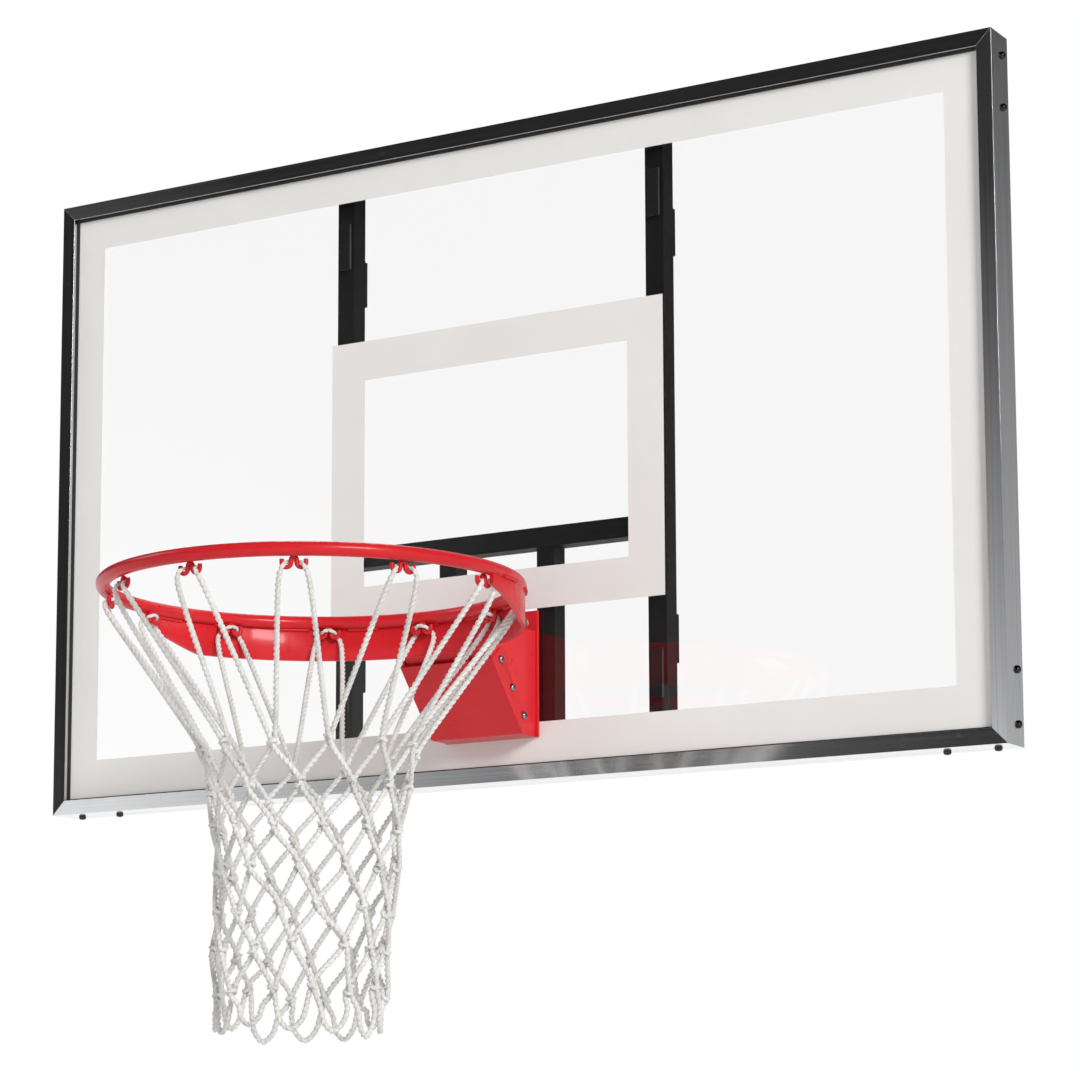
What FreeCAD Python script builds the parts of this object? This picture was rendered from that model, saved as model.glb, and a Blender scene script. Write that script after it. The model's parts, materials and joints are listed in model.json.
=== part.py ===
import FreeCAD, Part
import Sketcher
import math
import os
import re

# Clear basketball backboard with a breakaway goal and a net.
# Origin: centre of the rear mount pattern. X right, Y towards the rear, Z up. Sizes in millimetres.

SIZES = {
    "board_width": 1371.6,
    "board_height": 838.2,
    "rail_face": 19.05,
    "rail_depth": 48.0,
    "rail_wall": 2.0,
    "rail_lip_depth": 8.0,
    "fin_reach": 15.0,
    "gasket_thickness": 2.0,
    "gasket_inset": 8.0,
    "gasket_reach": 21.5,
    "panel_thickness": 6.35,
    "panel_inset": 5.0,
    "panel_hole_radius": 8.2,
    "marking_thickness": 0.3,
    "border_gap": 5.0,
    "border_side": 65.4,
    "border_top": 63.6,
    "border_bottom": 71.8,
    "target_width": 487.4,
    "target_height": 372.9,
    "target_bottom": 213.1,
    "target_side_band": 50.0,
    "target_flat_band": 51.6,
    "tube_size": 25.4,
    "tube_wall": 2.0,
    "tube_end_gap": 0.5,
    "upright_spacing": 457.2,
    "crossbar_bottom": 291.2,
    "goal_bar_spacing": 142.8,
    "pad_length": 60.0,
    "pad_width": 16.0,
    "pad_end_margin": 120.0,
    "mount_pad_thickness": 6.0,
    "mount_spacing_z": 508.0,
    "mount_hole_radius": 5.25,
    "mount_nut_thickness": 6.0,
    "mount_nut_gap": 0.7,
    "key_leg": 110.0,
    "key_thickness": 5.0,
    "key_depth": 24.0,
    "key_gap": 0.05,
    "corner_screw_first": 25.0,
    "corner_screw_pitch": 63.0,
    "corner_screw_level": 32.0,
    "screw_radius": 2.4,
    "screw_head_radius": 4.8,
    "screw_head_crown_radius": 3.4,
    "screw_head_height": 2.6,
    "screw_length": 7.5,
    "screw_gap": 0.1,
    "tube_screw_pitch": 13.0,
    "goal_plate_thickness": 5.0,
    "goal_plate_bottom": 76.0,
    "goal_plate_top": 212.0,
    "goal_bolt_spacing_x": 88.9,
    "goal_bolt_spacing_z": 101.6,
    "goal_bolt_bottom": 92.9,
    "goal_bolt_radius": 4.75,
    "goal_bolt_head_radius": 8.6,
    "goal_bolt_head_height": 6.0,
    "goal_bolt_spare": 3.0,
    "goal_nut_height": 7.5,
    "bolt_gap": 0.1,
    "washer_radius": 9.8,
    "washer_thickness": 1.6,
    "bush_radius": 8.0,
    "back_plate_half_width": 67.0,
    "back_plate_top": 209.8,
    "back_plate_thickness": 4.0,
    "goal_bottom": 54.7,
    "gusset_half_width": 64.0,
    "gusset_thickness": 4.0,
    "gusset_top": 184.0,
    "gusset_round": 19.0,
    "foot_share": 0.1917,
    "nose_share": 0.768,
    "nose_height": 150.0,
    "brow_share": 0.8034,
    "brow_height": 158.0,
    "flange_width": 14.0,
    "flange_thickness": 3.0,
    "cover_thickness": 2.0,
    "cover_end_gap": 17.6,
    "cover_screw_first": 15.0,
    "cover_screw_last": 11.0,
    "cover_screw_inset": 14.0,
    "cover_side": 24.0,
    "cover_screw_length": 4.8,
    "bridge_thickness": 6.0,
    "bridge_share": 0.3876,
    "shelf_thickness": 4.0,
    "shelf_gap": 1.8,
    "pin_height": 164.0,
    "pin_clearance": 4.7,
    "pin_radius": 6.0,
    "pin_gap": 0.1,
    "pin_head_radius": 9.5,
    "pin_head_height": 3.0,
    "pin_end": 5.0,
    "clip_thickness": 2.0,
    "hinge_tube_radius": 10.0,
    "arm_half_width": 59.2,
    "arm_thickness": 4.2,
    "arm_bottom": 150.0,
    "arm_top": 176.0,
    "arm_back": 14.0,
    "arm_lap": 16.1,
    "tongue_thickness": 4.0,
    "tongue_gap": 3.0,
    "swing_gap": 0.3,
    "swing_thickness": 4.0,
    "swing_margin": 21.0,
    "swing_end_gap": 5.6,
    "spring_offset": 28.0,
    "spring_share": 0.451,
    "spring_level_share": 0.45,
    "spring_radius": 13.0,
    "spring_wire": 4.0,
    "spring_turns": 6.0,
    "spring_end_gap": 0.2,
    "spring_seat_radius": 10.4,
    "spring_seat_height": 5.0,
    "ring_inner_radius": 228.6,
    "rod_radius": 8.0,
    "ring_reach": 381.0,
    "ring_height": 184.0,
    "brace_thickness": 5.0,
    "brace_shift": 3.4,
    "brace_bottom": 138.0,
    "brace_lap": 1.6,
    "brace_tip_height": 166.0,
    "brace_taper": 86.0,
    "weld_gap": 0.05,
    "hook_count": 12.0,
    "hook_wire": 5.0,
    "hook_inset": 7.1,
    "hook_curl": 5.0,
    "hook_bend": 3.0,
    "hook_stem": 3.2,
    "hook_tip": 4.0,
    "cord_width": 4.4,
    "cord_gap": 0.15,
    "net_first_drop": 175.0,
    "net_row_pitch": 45.0,
    "net_rows": 8.0,
    "net_bottom_radius": 90.0,
    "net_gather": 120.0,
    "net_knot_width": 11.0,
    "net_knot_height": 13.0,
    "net_lean": 16.0,
}

# Places and lengths that several pieces share. The housing's depth follows the room behind the brace.
DERIVED = {
    "front_plane": "rail_wall - mount_pad_thickness - rail_depth",
    "base_level": "-board_height / 2",
    "panel_front": "front_plane + rail_lip_depth + gasket_thickness",
    "panel_rear": "panel_front + panel_thickness",
    "marking_front": "panel_front - marking_thickness",
    "plate_front": "marking_front - back_plate_thickness",
    "plate_step": "plate_front - front_plane",
    "tube_front": "-mount_pad_thickness - tube_size",
    "tube_rear": "-mount_pad_thickness",
    "gusset_inner": "gusset_half_width - gusset_thickness",
    "ring_radius": "ring_inner_radius + rod_radius",
    "brace_outer": "ring_radius + brace_shift + brace_thickness / 2",
    "goal_gap": "ring_reach - ring_radius - brace_thickness / 2",
    "foot_reach": "foot_share * goal_gap",
    "nose_reach": "nose_share * goal_gap",
    "brow_reach": "brow_share * goal_gap",
    "bridge_reach": "bridge_share * goal_gap",
    "spring_length": "spring_share * goal_gap",
    "arm_forward": "goal_gap + arm_lap",
    "slope_run": "nose_reach - foot_reach",
    "slope_rise": "nose_height - goal_bottom",
    "slope_length": "sqrt(slope_run^2 + slope_rise^2)",
    "cover_length": "slope_length - cover_end_gap",
    "cover_screw_pitch": "(cover_length - cover_screw_first - cover_screw_last) / 2",
    "swing_end": "slope_length - swing_end_gap",
    "swing_front": "flange_thickness + swing_gap",
    "swing_back": "swing_front + swing_thickness",
    "shelf_front": "swing_back + spring_length",
    "shelf_rear": "shelf_front + shelf_thickness",
    "shelf_low": "(shelf_rear * slope_rise - (foot_reach + plate_step) * slope_length) / slope_run",
    "shelf_start": "shelf_low + shelf_gap",
    "shelf_rise": "gusset_top - bridge_thickness - goal_bottom",
    "shelf_end": "(shelf_rise * slope_length - shelf_rear * slope_run) / slope_rise - shelf_gap",
    "spring_level": "shelf_start + spring_level_share * (shelf_end - shelf_start)",
    "swing_start": "spring_level - swing_margin",
    "pin_inward": "swing_back + pin_clearance + hinge_tube_radius",
    "pin_rise": "pin_height - goal_bottom",
    "pin_reach": "foot_reach + (pin_rise * slope_run - pin_inward * slope_length) / slope_rise",
}
FULL_TURN = 360

X_AXIS = FreeCAD.Vector(1, 0, 0)
Y_AXIS = FreeCAD.Vector(0, 1, 0)
Z_AXIS = FreeCAD.Vector(0, 0, 1)

doc = FreeCAD.newDocument("Backboard")
sheet = doc.addObject("Spreadsheet::Sheet", "Sizes")
for row, (alias, number) in enumerate(SIZES.items(), start=1):
    sheet.set(f"A{row}", alias)
    sheet.set(f"B{row}", str(number))
    sheet.setAlias(f"B{row}", alias)
doc.recompute()
derived = doc.addObject("App::VarSet", "Derived")
nodes = []


def full_name(word):
    if word[0] in SIZES:
        return f"Sizes.{word[0]}"
    return f"Derived.{word[0]}" if word[0] in DERIVED else word[0]


def bind(thing, prop, text):
    thing.setExpression(prop, re.sub(r"[a-z][a-z_]+", full_name, text))


for name, text in DERIVED.items():
    derived.addProperty("App::PropertyFloat", name)
    bind(derived, name, text)
doc.recompute()
size = {alias: float(sheet.get(alias)) for alias in SIZES}
size.update({name: derived.getPropertyByName(name) for name in DERIVED})


def place(thing, x="0", y="0", z="0"):
    for axis, text in zip("xyz", (x, y, z)):
        bind(thing, f"Placement.Base.{axis}", text)
    return thing


def aim(thing, direction):
    thing.Placement.Rotation = FreeCAD.Rotation(Z_AXIS, direction)
    return thing


def node(thing, label):
    thing.Label = label
    nodes.append(thing)
    return thing


def box(name, extent, corner):
    thing = doc.addObject("Part::Box", name)
    for prop, text in zip(("Length", "Width", "Height"), extent):
        bind(thing, prop, text)
    return place(thing, *corner)


def centred_box(name, width, depth, height, y, z, x="0"):
    return box(name, (width, depth, height), (f"{x} - ({width}) / 2", y, z))


def cylinder(name, radius, height, base, direction):
    thing = doc.addObject("Part::Cylinder", name)
    bind(thing, "Radius", radius)
    bind(thing, "Height", height)
    return place(aim(thing, direction), *base)


def hexagon(name, radius, height, base, direction):
    thing = doc.addObject("Part::Prism", name)
    thing.Polygon = 6
    bind(thing, "Circumradius", radius)
    bind(thing, "Height", height)
    return place(aim(thing, direction), *base)


def cut(name, base, *tools):
    thing = doc.addObject("Part::Cut", name)
    thing.Base = base
    thing.Tool = tools[0] if len(tools) == 1 else group(name + "Tools", *tools)
    return thing


def fuse(name, *pieces):
    thing = doc.addObject("Part::MultiFuse", name)
    thing.Shapes = list(pieces)
    thing.Refine = True
    return thing


def group(name, *pieces):
    thing = doc.addObject("Part::Compound", name)
    thing.Links = list(pieces)
    return thing


def mirrored(name, source, normal):
    thing = doc.addObject("Part::Mirroring", name)
    thing.Source = source
    thing.Normal = normal
    return thing


def origin_plane(body, role):
    return next(plane for plane in body.Origin.OriginFeatures if plane.Role == role)


def sketch_on(body, role, name):
    sketch = body.newObject("Sketcher::SketchObject", name)
    sketch.AttachmentSupport = [(origin_plane(body, role), "")]
    sketch.MapMode = "FlatFace"
    return sketch


def fix_point(sketch, geometry, position, across, up):
    for kind, text in (("DistanceX", across), ("DistanceY", up)):
        number = sketch.addConstraint(Sketcher.Constraint(kind, -1, 1, geometry, position, 1.0))
        name = f"{kind}{geometry}"
        sketch.renameConstraint(number, name)
        bind(sketch, f"Constraints.{name}", text)


def outline(sketch, points):
    first = sketch.GeometryCount
    count = len(points)
    turns = [2 * math.pi * index / count for index in range(count + 1)]
    ring = [FreeCAD.Vector(math.cos(turn), math.sin(turn), 0) for turn in turns]
    for start, end in zip(ring, ring[1:]):
        sketch.addGeometry(Part.LineSegment(start, end), False)
    for index in range(count):
        following = first + (index + 1) % count
        sketch.addConstraint(Sketcher.Constraint("Coincident", first + index, 2, following, 1))
    for index, (across, up) in enumerate(points):
        fix_point(sketch, first + index, 1, across, up)


def round_hole(sketch, across, up, radius):
    number = sketch.addGeometry(Part.Circle(FreeCAD.Vector(0, 0, 0), Z_AXIS, 1.0), False)
    fix_point(sketch, number, 3, across, up)
    limit = sketch.addConstraint(Sketcher.Constraint("Radius", number, 1.0))
    sketch.renameConstraint(limit, f"Radius{number}")
    bind(sketch, f"Constraints.Radius{number}", radius)


def side_profile(name, points, width, holes=()):
    """A body whose outline is drawn in the YZ plane and padded evenly to both sides of X = 0."""
    body = doc.addObject("PartDesign::Body", name)
    sketch = sketch_on(body, "YZ_Plane", name + "Outline")
    outline(sketch, points)
    for across, up, radius in holes:
        round_hole(sketch, across, up, radius)
    pad = body.newObject("PartDesign::Pad", name + "Pad")
    pad.Profile = sketch
    pad.SideType = "Symmetric"
    bind(pad, "Length", width)
    sketch.Visibility = False
    return body


def on_slope(along, inward):
    """Depth and height of a point on the housing's sloping front, from the board's lower front edge."""
    back = f"(({inward}) * slope_rise - ({along}) * slope_run) / slope_length"
    up = f"(({along}) * slope_rise + ({inward}) * slope_run) / slope_length"
    return f"({back} - foot_reach)", f"({up} + goal_bottom)"


def slope_normal():
    return FreeCAD.Vector(0, size["slope_rise"], size["slope_run"]).normalize()


def in_goal(x, depth, height):
    return x, f"front_plane + {depth}", f"base_level + {height}"


def screw(name, base, outward, length):
    """A pan-head screw whose head stands on base and whose shank points inward."""
    head = doc.addObject("Part::Cone", name + "Head")
    bind(head, "Radius1", "screw_head_radius")
    bind(head, "Radius2", "screw_head_crown_radius")
    bind(head, "Height", "screw_head_height")
    place(aim(head, outward), *base)
    shank = cylinder(name + "Shank", "screw_radius", length, base, -outward)
    return fuse(name, head, shank)


def screw_hole(name, base, outward, length):
    return cylinder(name, "screw_radius + screw_gap", length, base, -outward)


# Rails

def rail_body(name, length):
    """A rail along X, its outer face at Z = 0 and its front face at Y = 0, mitred at both ends."""
    section = [
        ("0", "0"),
        ("rail_depth", "0"),
        ("rail_depth", "rail_face"),
        ("rail_depth - rail_wall", "rail_face"),
        ("rail_depth - rail_wall", "rail_wall"),
        ("rail_lip_depth + gasket_thickness + panel_thickness + rail_wall", "rail_wall"),
        ("rail_lip_depth + gasket_thickness + panel_thickness + rail_wall", "fin_reach"),
        ("rail_lip_depth + gasket_thickness + panel_thickness", "fin_reach"),
        ("rail_lip_depth + gasket_thickness + panel_thickness", "rail_wall"),
        ("rail_wall", "rail_wall"),
        ("rail_wall", "rail_face - rail_wall"),
        ("rail_lip_depth", "rail_face - rail_wall"),
        ("rail_lip_depth", "rail_face"),
        ("0", "rail_face"),
    ]
    body = side_profile(name, section, length)
    mitre = sketch_on(body, "XZ_Plane", name + "Mitre")
    for side in ("-", ""):
        end = f"{side}({length}) / 2"
        inner_end = f"{side}(({length}) / 2 - rail_face)"
        outline(mitre, [(end, "0"), (end, "rail_face"), (inner_end, "rail_face")])
    pocket = body.newObject("PartDesign::Pocket", name + "MitreCut")
    pocket.Profile = mitre
    pocket.Type = "ThroughAll"
    pocket.SideType = "Symmetric"
    mitre.Visibility = False
    return body


TUBE_PLACES = ("-upright_spacing / 2", "upright_spacing / 2", "-goal_bar_spacing / 2", "goal_bar_spacing / 2")


def tube_screw_places(top):
    tubes = TUBE_PLACES[:2] if top else TUBE_PLACES
    height = "(rail_wall + rail_face) / 2"
    level = f"-(base_level) - {height}" if top else f"base_level + {height}"
    rear = "tube_rear + rail_wall"
    return [(f"{tube} {side} tube_screw_pitch / 2", rear, level) for tube in tubes for side in "+-"]


def corner_screw_places(name, along_z):
    """Screws near the lower left corner: on the left face (along Z) or on the lower face (along X)."""
    level = "front_plane + corner_screw_level"
    for index in (0, 1):
        reach = f"corner_screw_first + {index} * corner_screw_pitch"
        if along_z:
            yield f"{name}{index}", ("-board_width / 2", level, f"base_level + {reach}"), -X_AXIS
        else:
            yield f"{name}{index}", (f"-board_width / 2 + {reach}", level, "base_level"), -Z_AXIS


def to_all_corners(name, source):
    right = mirrored(name + "Right", source, X_AXIS)
    return [source, right, mirrored(name + "Top", source, Z_AXIS), mirrored(name + "TopRight", right, Z_AXIS)]


def make_rails():
    holes = []
    for along_z in (True, False):
        for name, base, outward in corner_screw_places(f"CornerHole{int(along_z)}", along_z):
            holes.append(screw_hole(name, base, outward, "screw_length + screw_gap"))
    corner_holes = group("CornerHoles", *to_all_corners("CornerHole", group("CornerHoleSet", *holes)))
    rails = {
        "bottom_rail": ("board_width", "0", "base_level", 0),
        "top_rail": ("board_width", "0", "-(base_level)", 180),
        "left_rail": ("board_height", "-board_width / 2", "0", 90),
        "right_rail": ("board_height", "board_width / 2", "0", -90),
    }
    for label, (length, x, z, turn) in rails.items():
        body = rail_body(label.title().replace("_", ""), length)
        body.Placement.Rotation = FreeCAD.Rotation(Y_AXIS, turn)
        place(body, x, "front_plane", z)
        tools = [corner_holes]
        if label in ("bottom_rail", "top_rail"):
            for index, spot in enumerate(tube_screw_places(label == "top_rail")):
                tools.append(screw_hole(f"{label}TubeHole{index}", spot, Y_AXIS, "rail_wall"))
        node(cut(label + "_drilled", body, *tools), label)
    return corner_holes


def make_corner_fittings(corner_holes):
    start = "rail_wall + key_gap"
    depth = "front_plane + corner_screw_level - key_depth / 2"
    extent = ("key_leg - rail_wall", "key_depth", "key_thickness")
    corner = (f"-board_width / 2 + {start}", depth, f"base_level + {start}")
    flat = box("KeyFlat", extent, corner)
    tall = box("KeyTall", extent[::-1], corner)
    key = cut("KeyDrilled", fuse("Key", flat, tall), corner_holes)
    node(group("Keys", *to_all_corners("Key", key)), "corner_keys")
    screws = []
    for along_z in (True, False):
        for name, base, outward in corner_screw_places(f"CornerScrew{int(along_z)}", along_z):
            screws.append(screw(name, base, outward, "screw_length"))
    screw_set = group("CornerScrewSet", *screws)
    node(group("CornerScrews", *to_all_corners("CornerScrew", screw_set)), "corner_screws")


# Panel, gasket and markings

def frame_piece(name, inset_outer, inset_inner, y, thickness):
    """A flat rectangular frame between two distances from the board's outer edge."""
    outer = centred_box(
        name + "Outer",
        f"board_width - 2 * ({inset_outer})",
        thickness,
        f"board_height - 2 * ({inset_outer})",
        y,
        f"base_level + {inset_outer}",
    )
    left, top, bottom = inset_inner
    inner = centred_box(
        name + "Inner",
        f"board_width - 2 * ({left})",
        f"3 * ({thickness})",
        f"board_height - ({top}) - ({bottom})",
        f"{y} - ({thickness})",
        f"base_level + {bottom}",
    )
    return cut(name, outer, inner)


def goal_bolt_places():
    for side in "-+":
        for row in (0, 1):
            x = f"{side}goal_bolt_spacing_x / 2"
            z = f"base_level + goal_bolt_bottom + {row} * goal_bolt_spacing_z"
            yield f"{'LR'[side == '+']}{row}", x, z


def goal_bolt_holes(name, radius, y, depth):
    return [cylinder(name + key, radius, depth, (x, y, z), Y_AXIS) for key, x, z in goal_bolt_places()]


def make_panel():
    sheet_box = centred_box(
        "PanelSheet",
        "board_width - 2 * panel_inset",
        "panel_thickness",
        "board_height - 2 * panel_inset",
        "panel_front",
        "base_level + panel_inset",
    )
    holes = goal_bolt_holes("PanelHole", "panel_hole_radius", "panel_front", "panel_thickness")
    node(cut("Panel", sheet_box, *holes), "clear_panel")
    gasket_y = "front_plane + rail_lip_depth"
    reach = ("gasket_reach",) * 3
    node(frame_piece("Gasket", "gasket_inset", reach, gasket_y, "gasket_thickness"), "glazing_gasket")
    margins = ("border_side", "border_top", "border_bottom")
    edge = "gasket_reach + border_gap"
    node(frame_piece("Border", edge, margins, "marking_front", "marking_thickness"), "border_marking")
    outer = centred_box(
        "TargetOuter",
        "target_width",
        "marking_thickness",
        "target_height",
        "marking_front",
        "base_level + target_bottom",
    )
    inner = centred_box(
        "TargetInner",
        "target_width - 2 * target_side_band",
        "3 * marking_thickness",
        "target_height - 2 * target_flat_band",
        "marking_front - marking_thickness",
        "base_level + target_bottom + target_flat_band",
    )
    node(cut("Target", outer, inner), "target_marking")


# Rear steel frame

def tube(name, extent, corner, hollow):
    """A square tube whose bore runs along the axis named in hollow."""
    shell = box(name + "Shell", extent, corner)
    core_extent = [text if axis == hollow else f"{text} - 2 * tube_wall" for axis, text in zip("xyz", extent)]
    core_corner = [text if axis == hollow else f"{text} + tube_wall" for axis, text in zip("xyz", corner)]
    return shell, box(name + "Core", core_extent, core_corner)


def mount_places():
    for column, x in zip("LR", TUBE_PLACES):
        for row, side in zip("LH", "-+"):
            yield column + row, x, f"{side}mount_spacing_z / 2"


def make_tubes():
    end = "rail_wall + tube_end_gap"
    bottom = f"base_level + {end}"
    bottom_holes = [
        screw_hole(f"TubeHole{index}", (x, "tube_rear", z), Y_AXIS, "tube_wall")
        for index, (x, y, z) in enumerate(tube_screw_places(False))
    ]
    top_holes = [
        screw_hole(f"TubeTopHole{index}", (x, "tube_rear", z), Y_AXIS, "tube_wall")
        for index, (x, y, z) in enumerate(tube_screw_places(True))
    ]
    mount_holes = [
        cylinder("TubeMount" + key, "mount_hole_radius", "tube_wall", (x, "tube_rear", z), -Y_AXIS)
        for key, x, z in mount_places()
    ]
    labels = ("left_upright", "right_upright", "left_goal_bar", "right_goal_bar")
    for label, x in zip(labels, TUBE_PLACES):
        upright = label.endswith("upright")
        length = f"board_height - 2 * ({end})" if upright else f"crossbar_bottom - ({end})"
        corner = (f"{x} - tube_size / 2", "tube_front", bottom)
        shell, core = tube(label, ("tube_size", "tube_size", length), corner, "z")
        tools = [core] + bottom_holes
        if upright:
            tools += top_holes + mount_holes
        node(cut(label + "_tube", shell, *tools), label)
    width = "upright_spacing - tube_size"
    extent = (width, "tube_size", "tube_size")
    corner = (f"-({width}) / 2", "tube_front", "base_level + crossbar_bottom")
    node(cut("CrossbarTube", *tube("Crossbar", extent, corner, "x")), "crossbar")
    places = tube_screw_places(False) + tube_screw_places(True)
    screws = [screw(f"TubeScrew{index}", spot, Y_AXIS, "screw_length") for index, spot in enumerate(places)]
    node(group("TubeScrews", *screws), "tube_screws")


def make_mounts():
    pads = []
    nuts = []
    for key, x, z in mount_places():
        low = f"{z} - pad_length / 2"
        deep = "mount_pad_thickness"
        block = centred_box("MountBlock" + key, "tube_size", deep, "pad_length", "tube_rear", low, x)
        hole = cylinder("MountHole" + key, "mount_hole_radius", deep, (x, "tube_rear", z), Y_AXIS)
        pads.append(cut("MountPad" + key, block, hole))
        side = "tube_size - 2 * tube_wall - 2 * mount_nut_gap"
        deep = "mount_nut_thickness"
        nut_y = f"tube_rear - tube_wall - {deep}"
        nut = centred_box("NutBlock" + key, side, deep, side, nut_y, f"{z} - ({side}) / 2", x)
        bore = cylinder("NutHole" + key, "mount_hole_radius", deep, (x, nut_y, z), Y_AXIS)
        nuts.append(cut("MountNut" + key, nut, bore))
    node(group("MountPads", *pads), "mount_pads")
    node(group("MountNuts", *nuts), "mount_nuts")
    foam = []
    for x in TUBE_PLACES[:2]:
        for index, share in enumerate((-1, 0, 1)):
            z = f"{share} * (board_height / 2 - pad_end_margin) - pad_length / 2"
            name = f"Foam{index}{x[0]}".replace("-", "L")
            depth = "tube_front - panel_rear"
            foam.append(centred_box(name, "pad_width", depth, "pad_length", "panel_rear", z, x))
    node(group("PanelPads", *foam), "panel_pads")


# Fixed half of the goal

def make_goal_fixing():
    width = "goal_bar_spacing - tube_size"
    height = "goal_plate_top - goal_plate_bottom"
    bottom = "base_level + goal_plate_bottom"
    rear = centred_box("GoalPlateBlank", width, "goal_plate_thickness", height, "tube_front", bottom)
    clearance = "goal_bolt_radius + bolt_gap"
    holes = goal_bolt_holes("GoalPlateHole", clearance, "tube_front", "goal_plate_thickness")
    node(cut("GoalPlate", rear, *holes), "goal_plate")
    foot = "(goal_bottom - cover_thickness)"
    plate = centred_box(
        "BackPlateBlank",
        "2 * back_plate_half_width",
        "back_plate_thickness",
        f"back_plate_top - {foot}",
        "plate_front",
        f"base_level + {foot}",
    )
    holes = goal_bolt_holes("BackPlateHole", clearance, "plate_front", "back_plate_thickness")
    node(cut("BackPlate", plate, *holes), "back_plate")
    rear_face = "(tube_front + goal_plate_thickness)"
    grip = f"({rear_face} - plate_front)"
    head_seat = "(plate_front - washer_thickness)"
    nut_seat = f"({rear_face} + washer_thickness)"
    bolts = []
    washers = []
    nuts = []
    bushes = []
    for key, x, z in goal_bolt_places():
        hex_radius = "goal_bolt_head_radius"
        head = hexagon("BoltHead" + key, hex_radius, "goal_bolt_head_height", (x, head_seat, z), -Y_AXIS)
        length = f"{grip} + 2 * washer_thickness + goal_nut_height + goal_bolt_spare"
        shank = cylinder("BoltShank" + key, "goal_bolt_radius", length, (x, head_seat, z), Y_AXIS)
        bolts.append(fuse("GoalBolt" + key, head, shank))
        for side, seat in (("Front", head_seat), ("Rear", rear_face)):
            disc = cylinder("Disc" + side + key, "washer_radius", "washer_thickness", (x, seat, z), Y_AXIS)
            hole = cylinder("DiscHole" + side + key, clearance, "washer_thickness", (x, seat, z), Y_AXIS)
            washers.append(cut("Washer" + side + key, disc, hole))
        nut = hexagon("NutBlank" + key, hex_radius, "goal_nut_height", (x, nut_seat, z), Y_AXIS)
        thread = cylinder("NutThread" + key, clearance, "goal_nut_height", (x, nut_seat, z), Y_AXIS)
        nuts.append(cut("GoalNut" + key, nut, thread))
        span = "tube_front - marking_front"
        sleeve = cylinder("Sleeve" + key, "bush_radius", span, (x, "marking_front", z), Y_AXIS)
        bore = cylinder("SleeveBore" + key, clearance, span, (x, "marking_front", z), Y_AXIS)
        bushes.append(cut("Bush" + key, sleeve, bore))
    node(group("GoalBolts", *bolts), "goal_bolts")
    node(group("GoalWashers", *washers), "goal_washers")
    node(group("GoalNuts", *nuts), "goal_nuts")
    node(group("PanelBushes", *bushes), "panel_bushes")


def cover_screw_places():
    for index in range(3):
        depth, height = on_slope(f"cover_screw_first + {index} * cover_screw_pitch", "cover_screw_inset")
        yield index, in_goal("(gusset_half_width + cover_thickness)", depth, height)


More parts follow.
